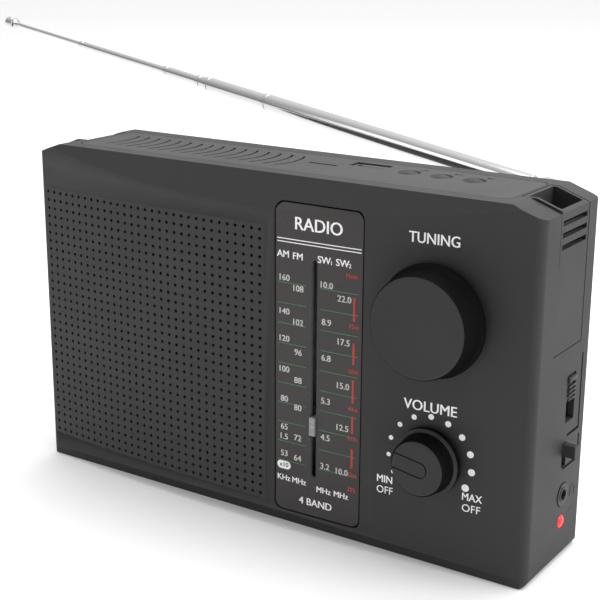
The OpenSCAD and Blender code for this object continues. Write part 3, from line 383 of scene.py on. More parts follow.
class Finishes(Enum):
    """Every finish on the receiver."""

    CABINET = MouldedPlastic("cabinet charcoal", (0.029, 0.029, 0.030), 0.62, gloss=0.34)
    GRILLE = MouldedPlastic("grille charcoal", (0.031, 0.031, 0.032), 0.62, gloss=0.34)
    TOP = MouldedPlastic("top panel charcoal", (0.038, 0.038, 0.040), 0.6, gloss=0.4)
    KNOB_FACE = MouldedPlastic("knob face", (0.019, 0.019, 0.0195), 0.6, grain=3400.0, dust=0.02)
    # The knob sides are the knob plastic made darker and less glossy: painted shade.
    KNOB_SIDE = MouldedPlastic("knob side painted shade", (0.004, 0.004, 0.0045), 0.55, grain=3400.0,
                               gloss=0.04, dust=0.0)
    BLACK = MouldedPlastic("black plastic", (0.012, 0.012, 0.013), 0.5, dust=0.02)
    POINTER = MouldedPlastic("pointer plastic", (0.30, 0.30, 0.31), 0.4, depth=0.1, dust=0.0)
    # Real grey on the board parts; on the pointer slot's walls, a lighter grey than their own
    # dark plastic: painted light.
    GREY = MouldedPlastic("grey plastic", (0.16, 0.16, 0.165), 0.5, dust=0.0)
    # The backplate's grey, made much lighter than its own so the slot interior reads lit: partly
    # real grey, partly painted light.
    PALE_GREY = MouldedPlastic("backplate grey and painted light", (0.42, 0.43, 0.44), 0.5, dust=0.0)
    WHITE = MouldedPlastic("white nylon", (0.62, 0.62, 0.58), 0.45, depth=0.1, dust=0.0)
    DIAL = DialGloss("dial lens", (0.027, 0.022, 0.022), 0.24)
    INK_WHITE = Ink("white ink", (0.93, 0.93, 0.93), 0.5)
    INK_CREAM = Ink("scale ink", (0.60, 0.60, 0.58), 0.5)
    INK_GREEN = Ink("green ink", (0.05, 0.21, 0.08), 0.5)
    INK_RED = Ink("red ink", (0.45, 0.030, 0.024), 0.5)
    CHROME = Metal("aerial chrome", (0.60, 0.60, 0.61), 0.08,
                   stretch=(60.0, 4000.0, 4000.0), turn=(0.0, 0.11, 0.2), lines=0.06)
    STEEL = Metal("plated steel", (0.56, 0.56, 0.57), 0.28)
    MAGNET = Metal("ferrite and iron", (0.10, 0.10, 0.105), 0.5)
    COPPER = Banded("copper winding", (0.50, 0.21, 0.09), 0.3, second=(0.12, 0.04, 0.02),
                    pitch=0.5, metallic=0.7)
    CELL = Banded("cell sleeve", (0.03, 0.06, 0.16), 0.35, second=(0.45, 0.42, 0.3), pitch=50.0,
                  soft=0.02)
    CORD = Banded("dial cord", (0.6, 0.6, 0.55), 0.8, second=(0.4, 0.4, 0.36), pitch=0.8,
                  across="DIAGONAL")
    PAPER = Banded("cone paper", (0.03, 0.03, 0.03), 0.9, second=(0.022, 0.022, 0.022),
                   pitch=3.0, across="Z")
    BOARD = Laminate("board lacquer", (0.012, 0.085, 0.03), 0.35)
    LED = Lamp("power light", (0.80, 0.006, 0.005), 0.25)

    def apply(self, target: bpy.types.Object) -> None:
        """Puts the finish on the whole object."""
        target.data.materials.clear()
        target.data.materials.append(self.value.material())


# ---------------------------------------------------------------- mesh tools


def finish_mesh(name: str, shape: bmesh.types.BMesh, finishes: Sequence[Finishes],
                body: str, replaced: Sequence[str] = (),
                weighted: bool = True) -> None:
    """Turns a shape in millimetres into a piece that rides on a body.

    Args:
        name: Name of the piece.
        shape: The mesh, which is freed here.
        finishes: Finishes by material index.
        body: CAD body that the piece rides on.
        replaced: CAD nodes that the piece stands for.
        weighted: Whether large faces keep flat shading beside small bevels.
    """
    bmesh.ops.scale(shape, vec=(MM, MM, MM), verts=shape.verts)
    for face in shape.faces:
        face.smooth = True
    mesh = bpy.data.meshes.new(name)
    shape.to_mesh(mesh)
    shape.free()
    mesh.set_sharp_from_angle(angle=SMOOTH_UP_TO)
    for each in finishes:
        mesh.materials.append(each.value.material())
    made = bpy.data.objects.new(name, mesh)
    bpy.context.scene.collection.objects.link(made)
    if weighted:
        modifier = made.modifiers.new("even shading", "WEIGHTED_NORMAL")
        modifier.keep_sharp = True
    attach(made, body)
    if replaced:
        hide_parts(*replaced)
    LOG.info("%s: %d faces on %s", name, len(mesh.polygons), body)


def node_skin(node: str, shape: bmesh.types.BMesh, finishes: Sequence[Finishes],
              body: str = "cabinet", weighted: bool = True) -> None:
    """Turns a shape into the piece that stands for one CAD node."""
    finish_mesh(node + "_skin", shape, finishes, body, [node], weighted)


def cad_copy(node: str) -> bmesh.types.BMesh:
    """Returns a merged copy of a CAD node's mesh, in millimetres, without flat seams."""
    shape = bmesh.new()
    shape.from_mesh(bpy.data.objects[node].data)
    bmesh.ops.scale(shape, vec=(1 / MM, 1 / MM, 1 / MM), verts=shape.verts)
    bmesh.ops.remove_doubles(shape, verts=shape.verts, dist=WELD)
    bmesh.ops.dissolve_degenerate(shape, edges=shape.edges, dist=SLIVER)
    bmesh.ops.dissolve_limit(shape, angle_limit=FLAT_UP_TO, verts=shape.verts,
                             edges=shape.edges)
    return shape


def soften(shape: bmesh.types.BMesh, width: float, chosen: Callable[[Any], bool] | None = None,
           least: float = 28.0, segments: int = 2) -> None:
    """Rounds a shape's sharp edges.

    Args:
        shape: The mesh.
        width: Width of the rounding.
        chosen: Says whether an edge is wanted; all are when it is left out.
        least: Smallest angle between faces that counts as sharp, in degrees.
        segments: Faces across the rounding.
    """
    limit = math.radians(least)
    edges = [edge for edge in shape.edges
             if len(edge.link_faces) == 2 and edge.calc_face_angle() > limit
             and (chosen is None or chosen(edge))]
    if edges:
        bmesh.ops.bevel(shape, geom=edges, offset=width, offset_type="OFFSET", affect="EDGES",
                        segments=segments, profile=0.5, material=-1, clamp_overlap=True)
        bmesh.ops.dissolve_degenerate(shape, edges=shape.edges, dist=2 * SLIVER)


def spun(profile: Profile, axis: Vector, origin: Vector, steps: int = 96) -> bmesh.types.BMesh:
    """Spins a closed profile round an axis.

    Args:
        profile: Points (radius, distance along the axis).
        axis: Direction of the axis.
        origin: Where distance 0 is.
        steps: Number of faces round.

    Returns:
        The closed mesh with outward faces.
    """
    shape = bmesh.new()
    points = [shape.verts.new((radius, 0.0, along)) for radius, along in profile]
    edges = [shape.edges.new(pair) for pair in zip(points, points[1:] + points[:1])]
    bmesh.ops.spin(shape, geom=points + edges, cent=(0, 0, 0), axis=(0, 0, 1), dvec=(0, 0, 0),
                   angle=math.tau, steps=steps, use_merge=True, use_duplicate=False)
    bmesh.ops.remove_doubles(shape, verts=shape.verts, dist=SLIVER)
    bmesh.ops.dissolve_degenerate(shape, edges=shape.edges, dist=SLIVER / 2)
    bmesh.ops.recalc_face_normals(shape, faces=shape.faces)
    turn = Vector((0, 0, 1)).rotation_difference(axis).to_matrix().to_4x4()
    shape.transform(Matrix.Translation(origin) @ turn)
    return shape


def joined(shapes: Iterable[bmesh.types.BMesh]) -> bmesh.types.BMesh:
    """Returns one mesh with all the shapes in it, and frees them."""
    whole = bmesh.new()
    for shape in shapes:
        mesh = bpy.data.meshes.new("part of a piece")
        shape.to_mesh(mesh)
        shape.free()
        whole.from_mesh(mesh)
        bpy.data.meshes.remove(mesh)
    return whole


def box_shape(low: Point, high: Point, rounding: float = 0.0) -> bmesh.types.BMesh:
    """Returns a block between two corners, with its edges rounded."""
    shape = bmesh.new()
    size = Vector(high) - Vector(low)
    middle = (Vector(high) + Vector(low)) / 2
    bmesh.ops.create_cube(shape, size=1.0,
                          matrix=Matrix.Translation(middle) @ Matrix.Diagonal((*size, 1.0)))
    if rounding:
        bmesh.ops.bevel(shape, geom=shape.edges[:], offset=rounding, offset_type="OFFSET",
                        affect="EDGES", segments=3, profile=0.5, material=-1)
    return shape


def only_verts(items: Iterable[Any]) -> list[bmesh.types.BMVert]:
    """Returns the vertices among mixed mesh elements."""
    return [item for item in items if isinstance(item, bmesh.types.BMVert)]


def prism(outline: Sequence[tuple[float, float]], height: float) -> bmesh.types.BMesh:
    """Returns an upright prism over an outline in the XY plane, from 0 to height."""
    shape = bmesh.new()
    face = shape.faces.new([shape.verts.new((x, y, 0.0)) for x, y in outline])
    made = bmesh.ops.extrude_face_region(shape, geom=[face])
    bmesh.ops.translate(shape, vec=(0, 0, height), verts=only_verts(made["geom"]))
    bmesh.ops.recalc_face_normals(shape, faces=shape.faces)
    return shape


@lru_cache(maxsize=None)
def node_box(node: str) -> tuple[Vector, Vector]:
    """Returns a CAD node's lowest and highest corners in millimetres."""
    low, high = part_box(node)
    return low / MM, high / MM


def node_middle(node: str) -> Vector:
    """Returns the middle of a CAD node's box in millimetres."""
    low, high = node_box(node)
    return (low + high) / 2


# ---------------------------------------------------------------- cabinet


@dataclass
class CabinetForm:
    """The cabinet's outer form, which everything on the front follows."""

    width: float = 210.0
    height: float = 128.0
    front: float = -22.0
    back: float = 22.0
    bow: float = 6.0
    band: float = 11.0
    corner_w: float = 11.0
    corner_drop: float = 4.0

    @property
    def radius(self) -> float:
        """Radius of the bowed front, seen from above."""
        return ((self.width / 2) ** 2 + self.bow ** 2) / (2 * self.bow)

    def skin(self, x: float, inset: float = 0.0) -> float:
        """Returns the front's y at x, at a depth below the skin."""
        centre = self.front - self.bow + self.radius
        return centre - math.sqrt((self.radius - inset) ** 2 - x * x)

    def depth(self, point: Vector) -> float:
        """Returns how far a point is below the outer form's nearest face."""
        x, y, z = abs(point.x), point.y, point.z
        slope = self.bow / self.band
        band = (self.front - slope * (self.height - z) - y) / math.hypot(1, slope)
        lean = self.corner_drop / self.corner_w
        corner = z - self.height + lean * (x - self.width / 2 + self.corner_w)
        corner /= math.hypot(1, lean)
        outside = max(x - self.width / 2, z - self.height, -z, y - self.back,
                      self.skin(point.x) - y, band, corner)
        return -outside


@dataclass
class Cabinet:
    """Shells, grille, top panel, strap brackets and battery door."""

    form: CabinetForm = field(default_factory=CabinetForm)
    edge: float = 0.3
    skin_reach: float = 1.5
    grille_gap: float = 0.25
    hole_radius: float = 0.65
    hole_sides: int = 12
    columns: int = 31
    rows: int = 31
    hole_border: float = 1.7
    grille_t: float = 2.1
    seam_reach: float = 0.6
    seam_depth: float = 5.0
    rib_count: int = 4
    rib_h: float = 0.8
    rib_pitch: float = 1.9
    rib_half: float = 9.0
    rib_taper: float = 1.2
    rib_drop: float = 9.5

    def near_grille_seam(self, point: Vector) -> bool:
        """Says whether a point is on the line where the grille meets the front."""
        low, high = node_box("speaker_grille")
        reach = self.seam_reach
        in_x = low.x - reach < point.x < high.x + reach
        in_z = low.z - reach < point.z < high.z + reach
        return in_x and in_z and point.y < self.form.front + self.seam_depth

    @staticmethod
    def paint_lit_slot_walls(shape: bmesh.types.BMesh) -> None:
        """Gives the walls of the pointer's slot finish 1, a lighter grey than the dark plastic
        round them: painted light.
        """
        low, high = node_box("dial_pointer")
        side, below, above, level = 0.9, 30, 70, 0.3
        shape.normal_update()
        for face in shape.faces:
            centre = face.calc_center_median()
            beside = low.x - side < centre.x < high.x + side
            if beside and low.z - below < centre.z < high.z + above and abs(
                    face.normal.y) < level:
                face.material_index = 1

    def outer_edge(self, edge: Any) -> bool:
        """Says whether an edge lies on the cabinet's outside and wants rounding."""
        first, last = (vertex.co for vertex in edge.verts)
        if self.near_grille_seam((first + last) / 2):
            return False
        return max(self.form.depth(first), self.form.depth(last)) < self.skin_reach

    def shells(self) -> None:
        """Front and back shells with rounded outer edges."""
        for node in ("front_shell", "rear_shell"):
            shape = cad_copy(node)
            soften(shape, self.edge, self.outer_edge)
            if node == "front_shell":
                self.paint_lit_slot_walls(shape)
            # Finish 1 is painted light on the walls of the pointer's slot.
            node_skin(node, shape, [Finishes.CABINET, Finishes.GREY])

    def cell(self, shape: bmesh.types.BMesh, corners: Sequence[Any], x: float, z: float) -> None:
        """Adds one field of the grille: four faces round a hole.

        Args:
            shape: The mesh, with the field in the XY plane.
            corners: The field's corner points, anticlockwise from the lower left.
            x: Middle of the hole.
            z: Middle of the hole.
        """
        step = math.tau / self.hole_sides
        ring = [shape.verts.new((x + self.hole_radius * math.cos(step * (i + 0.5)),
                                 z + self.hole_radius * math.sin(step * (i + 0.5)), 0.0))
                for i in range(self.hole_sides)]
        quarter = self.hole_sides // 4
        for side in range(4):
            first = quarter * (side + 2) + 1
            arc = [ring[(first + i) % self.hole_sides] for i in range(quarter + 1)]
            shape.faces.new([corners[side], corners[(side + 1) % 4], *reversed(arc)])

    def grille(self) -> None:
        """Perforated field, curved with the front and flush with the shell around it."""
        low, high = node_box("speaker_grille")
        gap, border = self.grille_gap, self.hole_border
        first_x, first_z = low.x + border, low.z + border
        pitch_x = (high.x - border - first_x) / (self.columns - 1)
        pitch_z = (high.z - border - first_z) / (self.rows - 1)
        at_x = [low.x - gap, *(first_x + pitch_x * (i + 0.5) for i in range(self.columns - 1)),
                high.x + gap]
        at_z = [low.z - gap, *(first_z + pitch_z * (i + 0.5) for i in range(self.rows - 1)),
                high.z + gap]
        shape = bmesh.new()
        net = [[shape.verts.new((x, z, 0.0)) for z in at_z] for x in at_x]
        for i in range(self.columns):
            for k in range(self.rows):
                corners = (net[i][k], net[i + 1][k], net[i + 1][k + 1], net[i][k + 1])
                self.cell(shape, corners, first_x + pitch_x * i, first_z + pitch_z * k)
        for vertex in shape.verts:
            x, z = vertex.co.x, vertex.co.y
            vertex.co = Vector((x, self.form.skin(x), z))
        shape.normal_update()
        if sum(face.normal.y for face in shape.faces) > 0:
            bmesh.ops.reverse_faces(shape, faces=shape.faces)
        bmesh.ops.solidify(shape, geom=shape.faces[:], thickness=self.grille_t)
        node_skin("speaker_grille", shape, [Finishes.GRILLE], weighted=False)

    def top_panel(self) -> None:
        """Panel with curved vents, openings and button dishes."""
        floor = self.form.height - 0.75
        shape = cad_copy("top_panel")
        soften(shape, 0.2, lambda edge: all(v.co.z > floor for v in edge.verts))
        node_skin("top_panel", shape, [Finishes.TOP])

    def strap_brackets(self) -> None:
        """Pocket, slots and cheek at both top corners."""
        for side in ("left", "right"):
            node = "strap_bracket_" + side
            shape = cad_copy(node)
            soften(shape, 0.25)
            node_skin(node, shape, [Finishes.CABINET])

    def battery_door(self) -> None:
        """Door with its finger notch and grip ribs that shorten downwards."""
        high, middle = node_box("battery_door")[1], node_middle("battery_door").x
        skin = high.y - 0.9
        shape = cad_copy("battery_door")
        soften(shape, 0.2, lambda edge: all(v.co.y > skin for v in edge.verts))
        node_skin("battery_door", shape, [Finishes.CABINET], "battery_door")
        ribs = []
        for number in range(self.rib_count):
            half = self.rib_half - number * self.rib_taper
            z = high.z - self.rib_drop - number * self.rib_pitch
            ribs.append(box_shape((middle - half, high.y - 0.35, z),
                                  (middle + half, high.y - 0.02, z + self.rib_h), 0.12))
        finish_mesh("battery_door_ribs", joined(ribs), [Finishes.BLACK], "battery_door",
                    weighted=False)

    def build(self) -> None:
        """Builds every cabinet piece."""
        self.shells()
        self.grille()
        self.top_panel()
        self.strap_brackets()
        self.battery_door()


# ---------------------------------------------------------------- printing


@dataclass
class Lettering:
    """Letters and marks printed on the front, as thin raised ink."""

    form: CabinetForm = field(default_factory=CabinetForm)
    thickness: float = 0.03
    weight: float = 0.035
    body: float = 0.004
    twin_lift: float = 0.002

    def cap_height(self) -> float:
        """Returns the height of a capital at font size 1."""
        low, high = self.bounds(self.flat("H", False))
        return high.y - low.y

    @staticmethod
    def bounds(shape: bmesh.types.BMesh) -> tuple[Vector, Vector]:
        """Returns a shape's lowest and highest corners."""
        points = [vertex.co for vertex in shape.verts]
        return (Vector(min(p[i] for p in points) for i in range(3)),
                Vector(max(p[i] for p in points) for i in range(3)))

    def flat(self, text: str, bold: bool) -> bmesh.types.BMesh:
        """Returns a line of text as a mesh in the XY plane, at font size 1."""
        curve = bpy.data.curves.new("letters", "FONT")
        curve.body = text
        curve.resolution_u = 3
        curve.extrude = self.body
        holder = bpy.data.objects.new("letters", curve)
        bpy.context.scene.collection.objects.link(holder)
        mesh = bpy.data.meshes.new_from_object(
            holder.evaluated_get(bpy.context.evaluated_depsgraph_get()))
        shape = bmesh.new()
        shape.from_mesh(mesh)
        bmesh.ops.remove_doubles(shape, verts=shape.verts, dist=0.0005)
        if bold:
            whole = shape.verts[:] + shape.edges[:] + shape.faces[:]
            twin = bmesh.ops.duplicate(shape, geom=whole)["geom"]
            bmesh.ops.translate(shape, vec=(self.weight, 0.0, self.twin_lift),
                                verts=only_verts(twin))
        bpy.data.objects.remove(holder)
        bpy.data.curves.remove(curve)
        bpy.data.meshes.remove(mesh)
        return shape

    def on_front(self, shape: bmesh.types.BMesh, inset: float) -> bmesh.types.BMesh:
        """Lays a flat shape, XY in millimetres as x and z, on the bowed front."""
        low, high = self.bounds(shape)
        span = max(high.z - low.z, 1e-6)
        for vertex in shape.verts:
            x, z = vertex.co.x, vertex.co.y
            lift = (vertex.co.z - low.z) / span * self.thickness
            vertex.co = Vector((x, self.form.skin(x, inset) - lift, z))
        bmesh.ops.recalc_face_normals(shape, faces=shape.faces)
        return shape

    def words(self, text: str, centre: tuple[float, float], cap: float, inset: float,
              width: float = 0.0, bold: bool = True) -> bmesh.types.BMesh:
        """Returns words on the front.

        Args:
            text: What they say.
            centre: Middle of the words, x and z.
            cap: Height of a capital.
            inset: Depth of the printed face below the cabinet's skin.
            width: Width of the whole, or 0 to leave it as the font has it.
            bold: Whether the strokes are thickened.

        Returns:
            The words as a mesh.
        """
        shape = self.flat(text, bold)
        low, high = self.bounds(shape)
        capital = self.cap_height()
        tall = cap / capital
        wide = width / (high.x - low.x) if width else tall
        bmesh.ops.translate(shape, vec=(-(low.x + high.x) / 2, -capital / 2, 0),
                            verts=shape.verts)
        bmesh.ops.scale(shape, vec=(wide, tall, tall), verts=shape.verts)
        bmesh.ops.translate(shape, vec=(*centre, 0), verts=shape.verts)
        return self.on_front(shape, inset)

    def stroke(self, x0: float, x1: float, z0: float, z1: float,
               inset: float) -> bmesh.types.BMesh:
        """Returns a straight printed bar on the front."""
        steps = max(1, round((x1 - x0) / 4))
        shape = bmesh.new()
        size = Matrix.Diagonal(((x1 - x0) / 2, (z1 - z0) / 2, 1, 1))
        middle = Matrix.Translation(((x0 + x1) / 2, (z0 + z1) / 2, 0))
        bmesh.ops.create_grid(shape, x_segments=steps, y_segments=1, size=1.0,
                              matrix=middle @ size)
        bmesh.ops.solidify(shape, geom=shape.faces[:], thickness=self.thickness)
        return self.on_front(shape, inset)

    def spot(self, x: float, z: float, radius: float, inset: float) -> bmesh.types.BMesh:
        """Returns a printed round dot."""
        shape = bmesh.new()
        bmesh.ops.create_circle(shape, cap_ends=True, segments=28, radius=radius,
                                matrix=Matrix.Translation((x, z, 0)))
        bmesh.ops.solidify(shape, geom=shape.faces[:], thickness=self.thickness)
        return self.on_front(shape, inset)


@dataclass
class DialScale(Lettering):
    """The scale printed on the dial: four bands, their rules and the metre bars."""

    inset: float = 0.19
    number_cap: float = 2.15
    rule_top: float = 91.8
    rule_pitch: float = 7.27
    rule_count: int = 10
    rule_h: float = 0.22
    rule_spans: Profile = ((11.0, 22.4), (27.9, 42.6))
    rule_sink: float = 0.012
    name_cap: float = 2.35
    unit_cap: float = 2.1
    index_cap: float = 1.4
    pill: tuple[float, float, float, float] = (12.2, 14.8, 24.7, 1.5)
    bar_spans: Profile = ((82.4, 90.7), (67.2, 74.8), (53.4, 61.8), (42.4, 48.7), (29.5, 36.8))
    bar_names: tuple[tuple[str, float], ...] = (("75m", 80.6), ("60m", 64.8), ("49m", 51.2),
                                                ("41m", 40.6), ("25m", 27.3))

    def numbers(self) -> list[bmesh.types.BMesh]:
        """Returns the numbers of the four bands."""
        columns = {
            13.6: {"160": 93.7, "140": 81.7, "120": 71.9, "100": 60.7, "80": 49.8, "65": 39.3,
                   "1.5": 35.6, "53": 29.2},
            19.2: {"108": 90.5, "102": 78.5, "96": 67.7, "88": 57.5, "80": 47.4, "72": 36.1,
                   "64": 28.5},
            30.4: {"10.0": 93.4, "8.9": 80.4, "6.8": 67.7, "5.3": 52.1, "4.5": 38.7, "3.2": 27.9},
            37.2: {"22.0": 89.6, "17.5": 74.5, "15.0": 58.9, "12.5": 43.7, "10.0": 27.4},
        }
        return [self.words(text, (x, z), self.number_cap, self.inset)
                for x, column in columns.items() for text, z in column.items()]

    def headings(self) -> list[bmesh.types.BMesh]:
        """Returns the band names, units, title and the double line under it."""
        name, unit, index = self.name_cap, self.unit_cap, self.index_cap
        words = [("AM", 12.9, 102.0, name), ("FM", 18.9, 101.8, name), ("SW", 29.3, 101.9, name),
                 ("1", 32.1, 101.3, index), ("SW", 36.4, 101.9, name), ("2", 39.2, 101.3, index),
                 ("KHz", 13.5, 19.9, unit), ("MHz", 19.9, 19.9, unit), ("MHz", 30.0, 18.6, unit),
                 ("MHz", 37.0, 18.6, unit)]
        made = [self.words(text, (x, z), cap, self.inset) for text, x, z, cap in words]
        made.append(self.words("RADIO", (27.0, 113.2), 4.3, self.inset, width=18.5))
        made.append(self.words("4 BAND", (26.6, 12.9), 2.6, self.inset, width=13.5))
        low, high = node_box("dial_lens")
        made += [self.stroke(low.x + 0.6, high.x - 0.6, z, z + 0.32, self.inset)
                 for z in (107.2, 106.1)]
        return made

    def multiplier(self) -> list[bmesh.types.BMesh]:
        """Returns the pill that says the AM numbers are tenths."""
        left, right, z, half = self.pill
        ends = [self.spot(x, z, half, self.inset) for x in (left, right)]
        return ends + [self.stroke(left, right, z - half, z + half, self.inset)]

    def rules(self) -> list[bmesh.types.BMesh]:
        """Returns the green rules on both sides of the slot."""
        tops = [self.rule_top - self.rule_pitch * number for number in range(self.rule_count)]
        return [self.stroke(x0, x1, z, z + self.rule_h, self.inset + self.rule_sink)
                for z in tops for x0, x1 in self.rule_spans]

    def metre_bars(self) -> list[bmesh.types.BMesh]:
        """Returns the red metre-band bars with their names."""
        made = [self.stroke(40.6, 41.4, z0, z1, self.inset) for z0, z1 in self.bar_spans]
        made += [self.words(text, (41.0, z), 1.5, self.inset) for text, z in self.bar_names]
        made.append(self.words("Meter", (40.2, 98.0), 1.6, self.inset, width=4.6))
        made.append(self.words("m", (41.0, 22.0), 2.6, self.inset))
        return made

    def build(self) -> None:
        """Prints the scale in its four inks."""
        prints = (("dial_print_white", self.headings() + self.multiplier(), Finishes.INK_WHITE),
                  ("dial_print_numbers", self.numbers(), Finishes.INK_CREAM),
                  ("dial_print_green", self.rules(), Finishes.INK_GREEN),
                  ("dial_print_red", self.metre_bars(), Finishes.INK_RED))
        for name, shapes, ink in prints:
            finish_mesh(name, joined(shapes), [ink], "cabinet", weighted=False)
        pill = self.words("x10", (13.5, 24.8), 1.7, self.inset - 0.04)
        finish_mesh("dial_print_pill_text", pill, [Finishes.BLACK], "cabinet",
                    weighted=False)


@dataclass
class FrontPrint(Lettering):
    """Names and volume dots printed beside the knobs."""

    dot_circle: float = 15.0
    dot_first: float = 209.0
    dot_step: float = 23.9
    dot_count: int = 11
    dot_least: float = 0.72
    dot_growth: float = 0.058
    dot_shift: float = 0.4
    texts: tuple[tuple[str, float, float, float, float, bool], ...] = (
        ("TUNING", 69.2, 114.3, 3.5, 17.6, True), ("VOLUME", 69.7, 57.7, 3.5, 19.0, True),
        ("MIN", 53.9, 28.8, 2.6, 5.8, True), ("OFF", 54.0, 24.8, 2.6, 6.0, False),
        ("MAX", 85.6, 29.0, 2.6, 7.0, True), ("OFF", 85.4, 25.0, 2.6, 6.4, False))

    def build(self) -> None:
        """Prints the front in white."""
        knob = node_middle("volume_knob")
        shapes = [self.words(text, (x, z), cap, 0.0, width, bold)
                  for text, x, z, cap, width, bold in self.texts]
        for number in range(self.dot_count):
            angle = math.radians(self.dot_first - number * self.dot_step)
            shapes.append(self.spot(knob.x - self.dot_shift + self.dot_circle * math.cos(angle),
                                    knob.z + self.dot_circle * math.sin(angle),
                                    self.dot_least + self.dot_growth * number, 0.0))
        finish_mesh("front_print", joined(shapes), [Finishes.INK_WHITE], "cabinet",
                    weighted=False)


# ---------------------------------------------------------------- dial and knobs


@dataclass
class Dial:
    """The lens in its recess and the pointer in its slot."""

    lens_front: float = -24.6
    slot_x: float = 25.4
    slot_reach: float = 1.6
    slot_width: float = 2.0
    ridges: tuple[float, ...] = (1.0, 3.0, 5.0)

    def rounded(self, edge: Any) -> bool:
        """Says whether an edge is on the lens's front rim and not at the slot."""
        first, last = (vertex.co for vertex in edge.verts)
        at_slot = (abs((first.x + last.x) / 2 - self.slot_x) < self.slot_reach
                   and abs(first.x - last.x) < self.slot_width)
        return max(first.y, last.y) < self.lens_front and not at_slot

    def build(self) -> None:
        """Builds the lens and dresses the pointer."""
        shape = cad_copy("dial_lens")
        soften(shape, 0.45, self.rounded, segments=3)
        # The slot walls in the lens get a lighter grey: painted light.
        Cabinet.paint_lit_slot_walls(shape)
        node_skin("dial_lens", shape, [Finishes.DIAL, Finishes.GREY])
        low, high = node_box("dial_pointer")
        ridges = [box_shape((high.x - 2.1, low.y, low.z + up),
                            (high.x - 0.2, low.y + 0.4, low.z + up + 0.5), 0.1)
                  for up in self.ridges]
        finish_mesh("pointer_ridges", joined(ridges), [Finishes.WHITE], "pointer",
                    weighted=False)


@dataclass
class Knobs:
    """Tuning and volume knobs."""

    rim: float = 0.9
    skirt_h: float = 2.0
    face_facing: float = 0.9
    bore: float = 3.05
    step: float = 1.8
    bore_floor: float = 2.0
    finishes: tuple[Finishes, ...] = (Finishes.KNOB_FACE, Finishes.KNOB_SIDE)

    def paint(self, shape: bmesh.types.BMesh) -> None:
        """Gives the face finish 0 and the sides finish 1, a darker copy of the same plastic by
        facing: painted shade.
        """
        shape.normal_update()
        for facet in shape.faces:
            facet.material_index = 0 if facet.normal.y < -self.face_facing else 1

    def tuning(self) -> None:
        """Large plain knob: skirt, step, slightly conical side, rounded rim, shallow dish."""
        low, high = node_box("tuning_knob")
        skirt = (high.x - low.x) / 2
        centre = node_middle("tuning_knob")
        centre.y = 0
        face = skirt - self.step
        near, far = -high.y, -low.y
        arc = [(face - self.rim + self.rim * math.sin(a), far - self.rim + self.rim * math.cos(a))
               for a in (math.radians(90 - 15 * i) for i in range(7))]
        ledge = near + self.skirt_h
        profile = [(self.bore, near), (skirt - 0.3, near), (skirt, near + 0.3),
                   (skirt, ledge - 0.4), (skirt - 0.4, ledge), (face + 0.9, ledge + 0.3),
                   (face + 0.6, ledge + 0.8), *arc, (face - 1.6, far - 0.02),
                   (face - 2.4, far - 0.1), (8.0, far - 0.18), (0.0, far - 0.2),
                   (0.0, far - self.bore_floor), (self.bore, far - self.bore_floor)]
        shape = spun(profile, Vector((0, -1, 0)), centre, steps=128)
        self.paint(shape)
        node_skin("tuning_knob", shape, self.finishes, "tuning")

    def volume(self) -> None:
        """Smaller knob with its grooved pointer bar."""
        shape = cad_copy("volume_knob")
        self.paint(shape)
        node_skin("volume_knob", shape, self.finishes, "volume")

    def build(self) -> None:
        """Builds both knobs."""
        self.tuning()
        self.volume()


# ---------------------------------------------------------------- top and side


class Symbol(Enum):
    """Signs moulded behind the play buttons."""

    PREVIOUS = "previous"
    PLAY = "play"
    NEXT = "next"


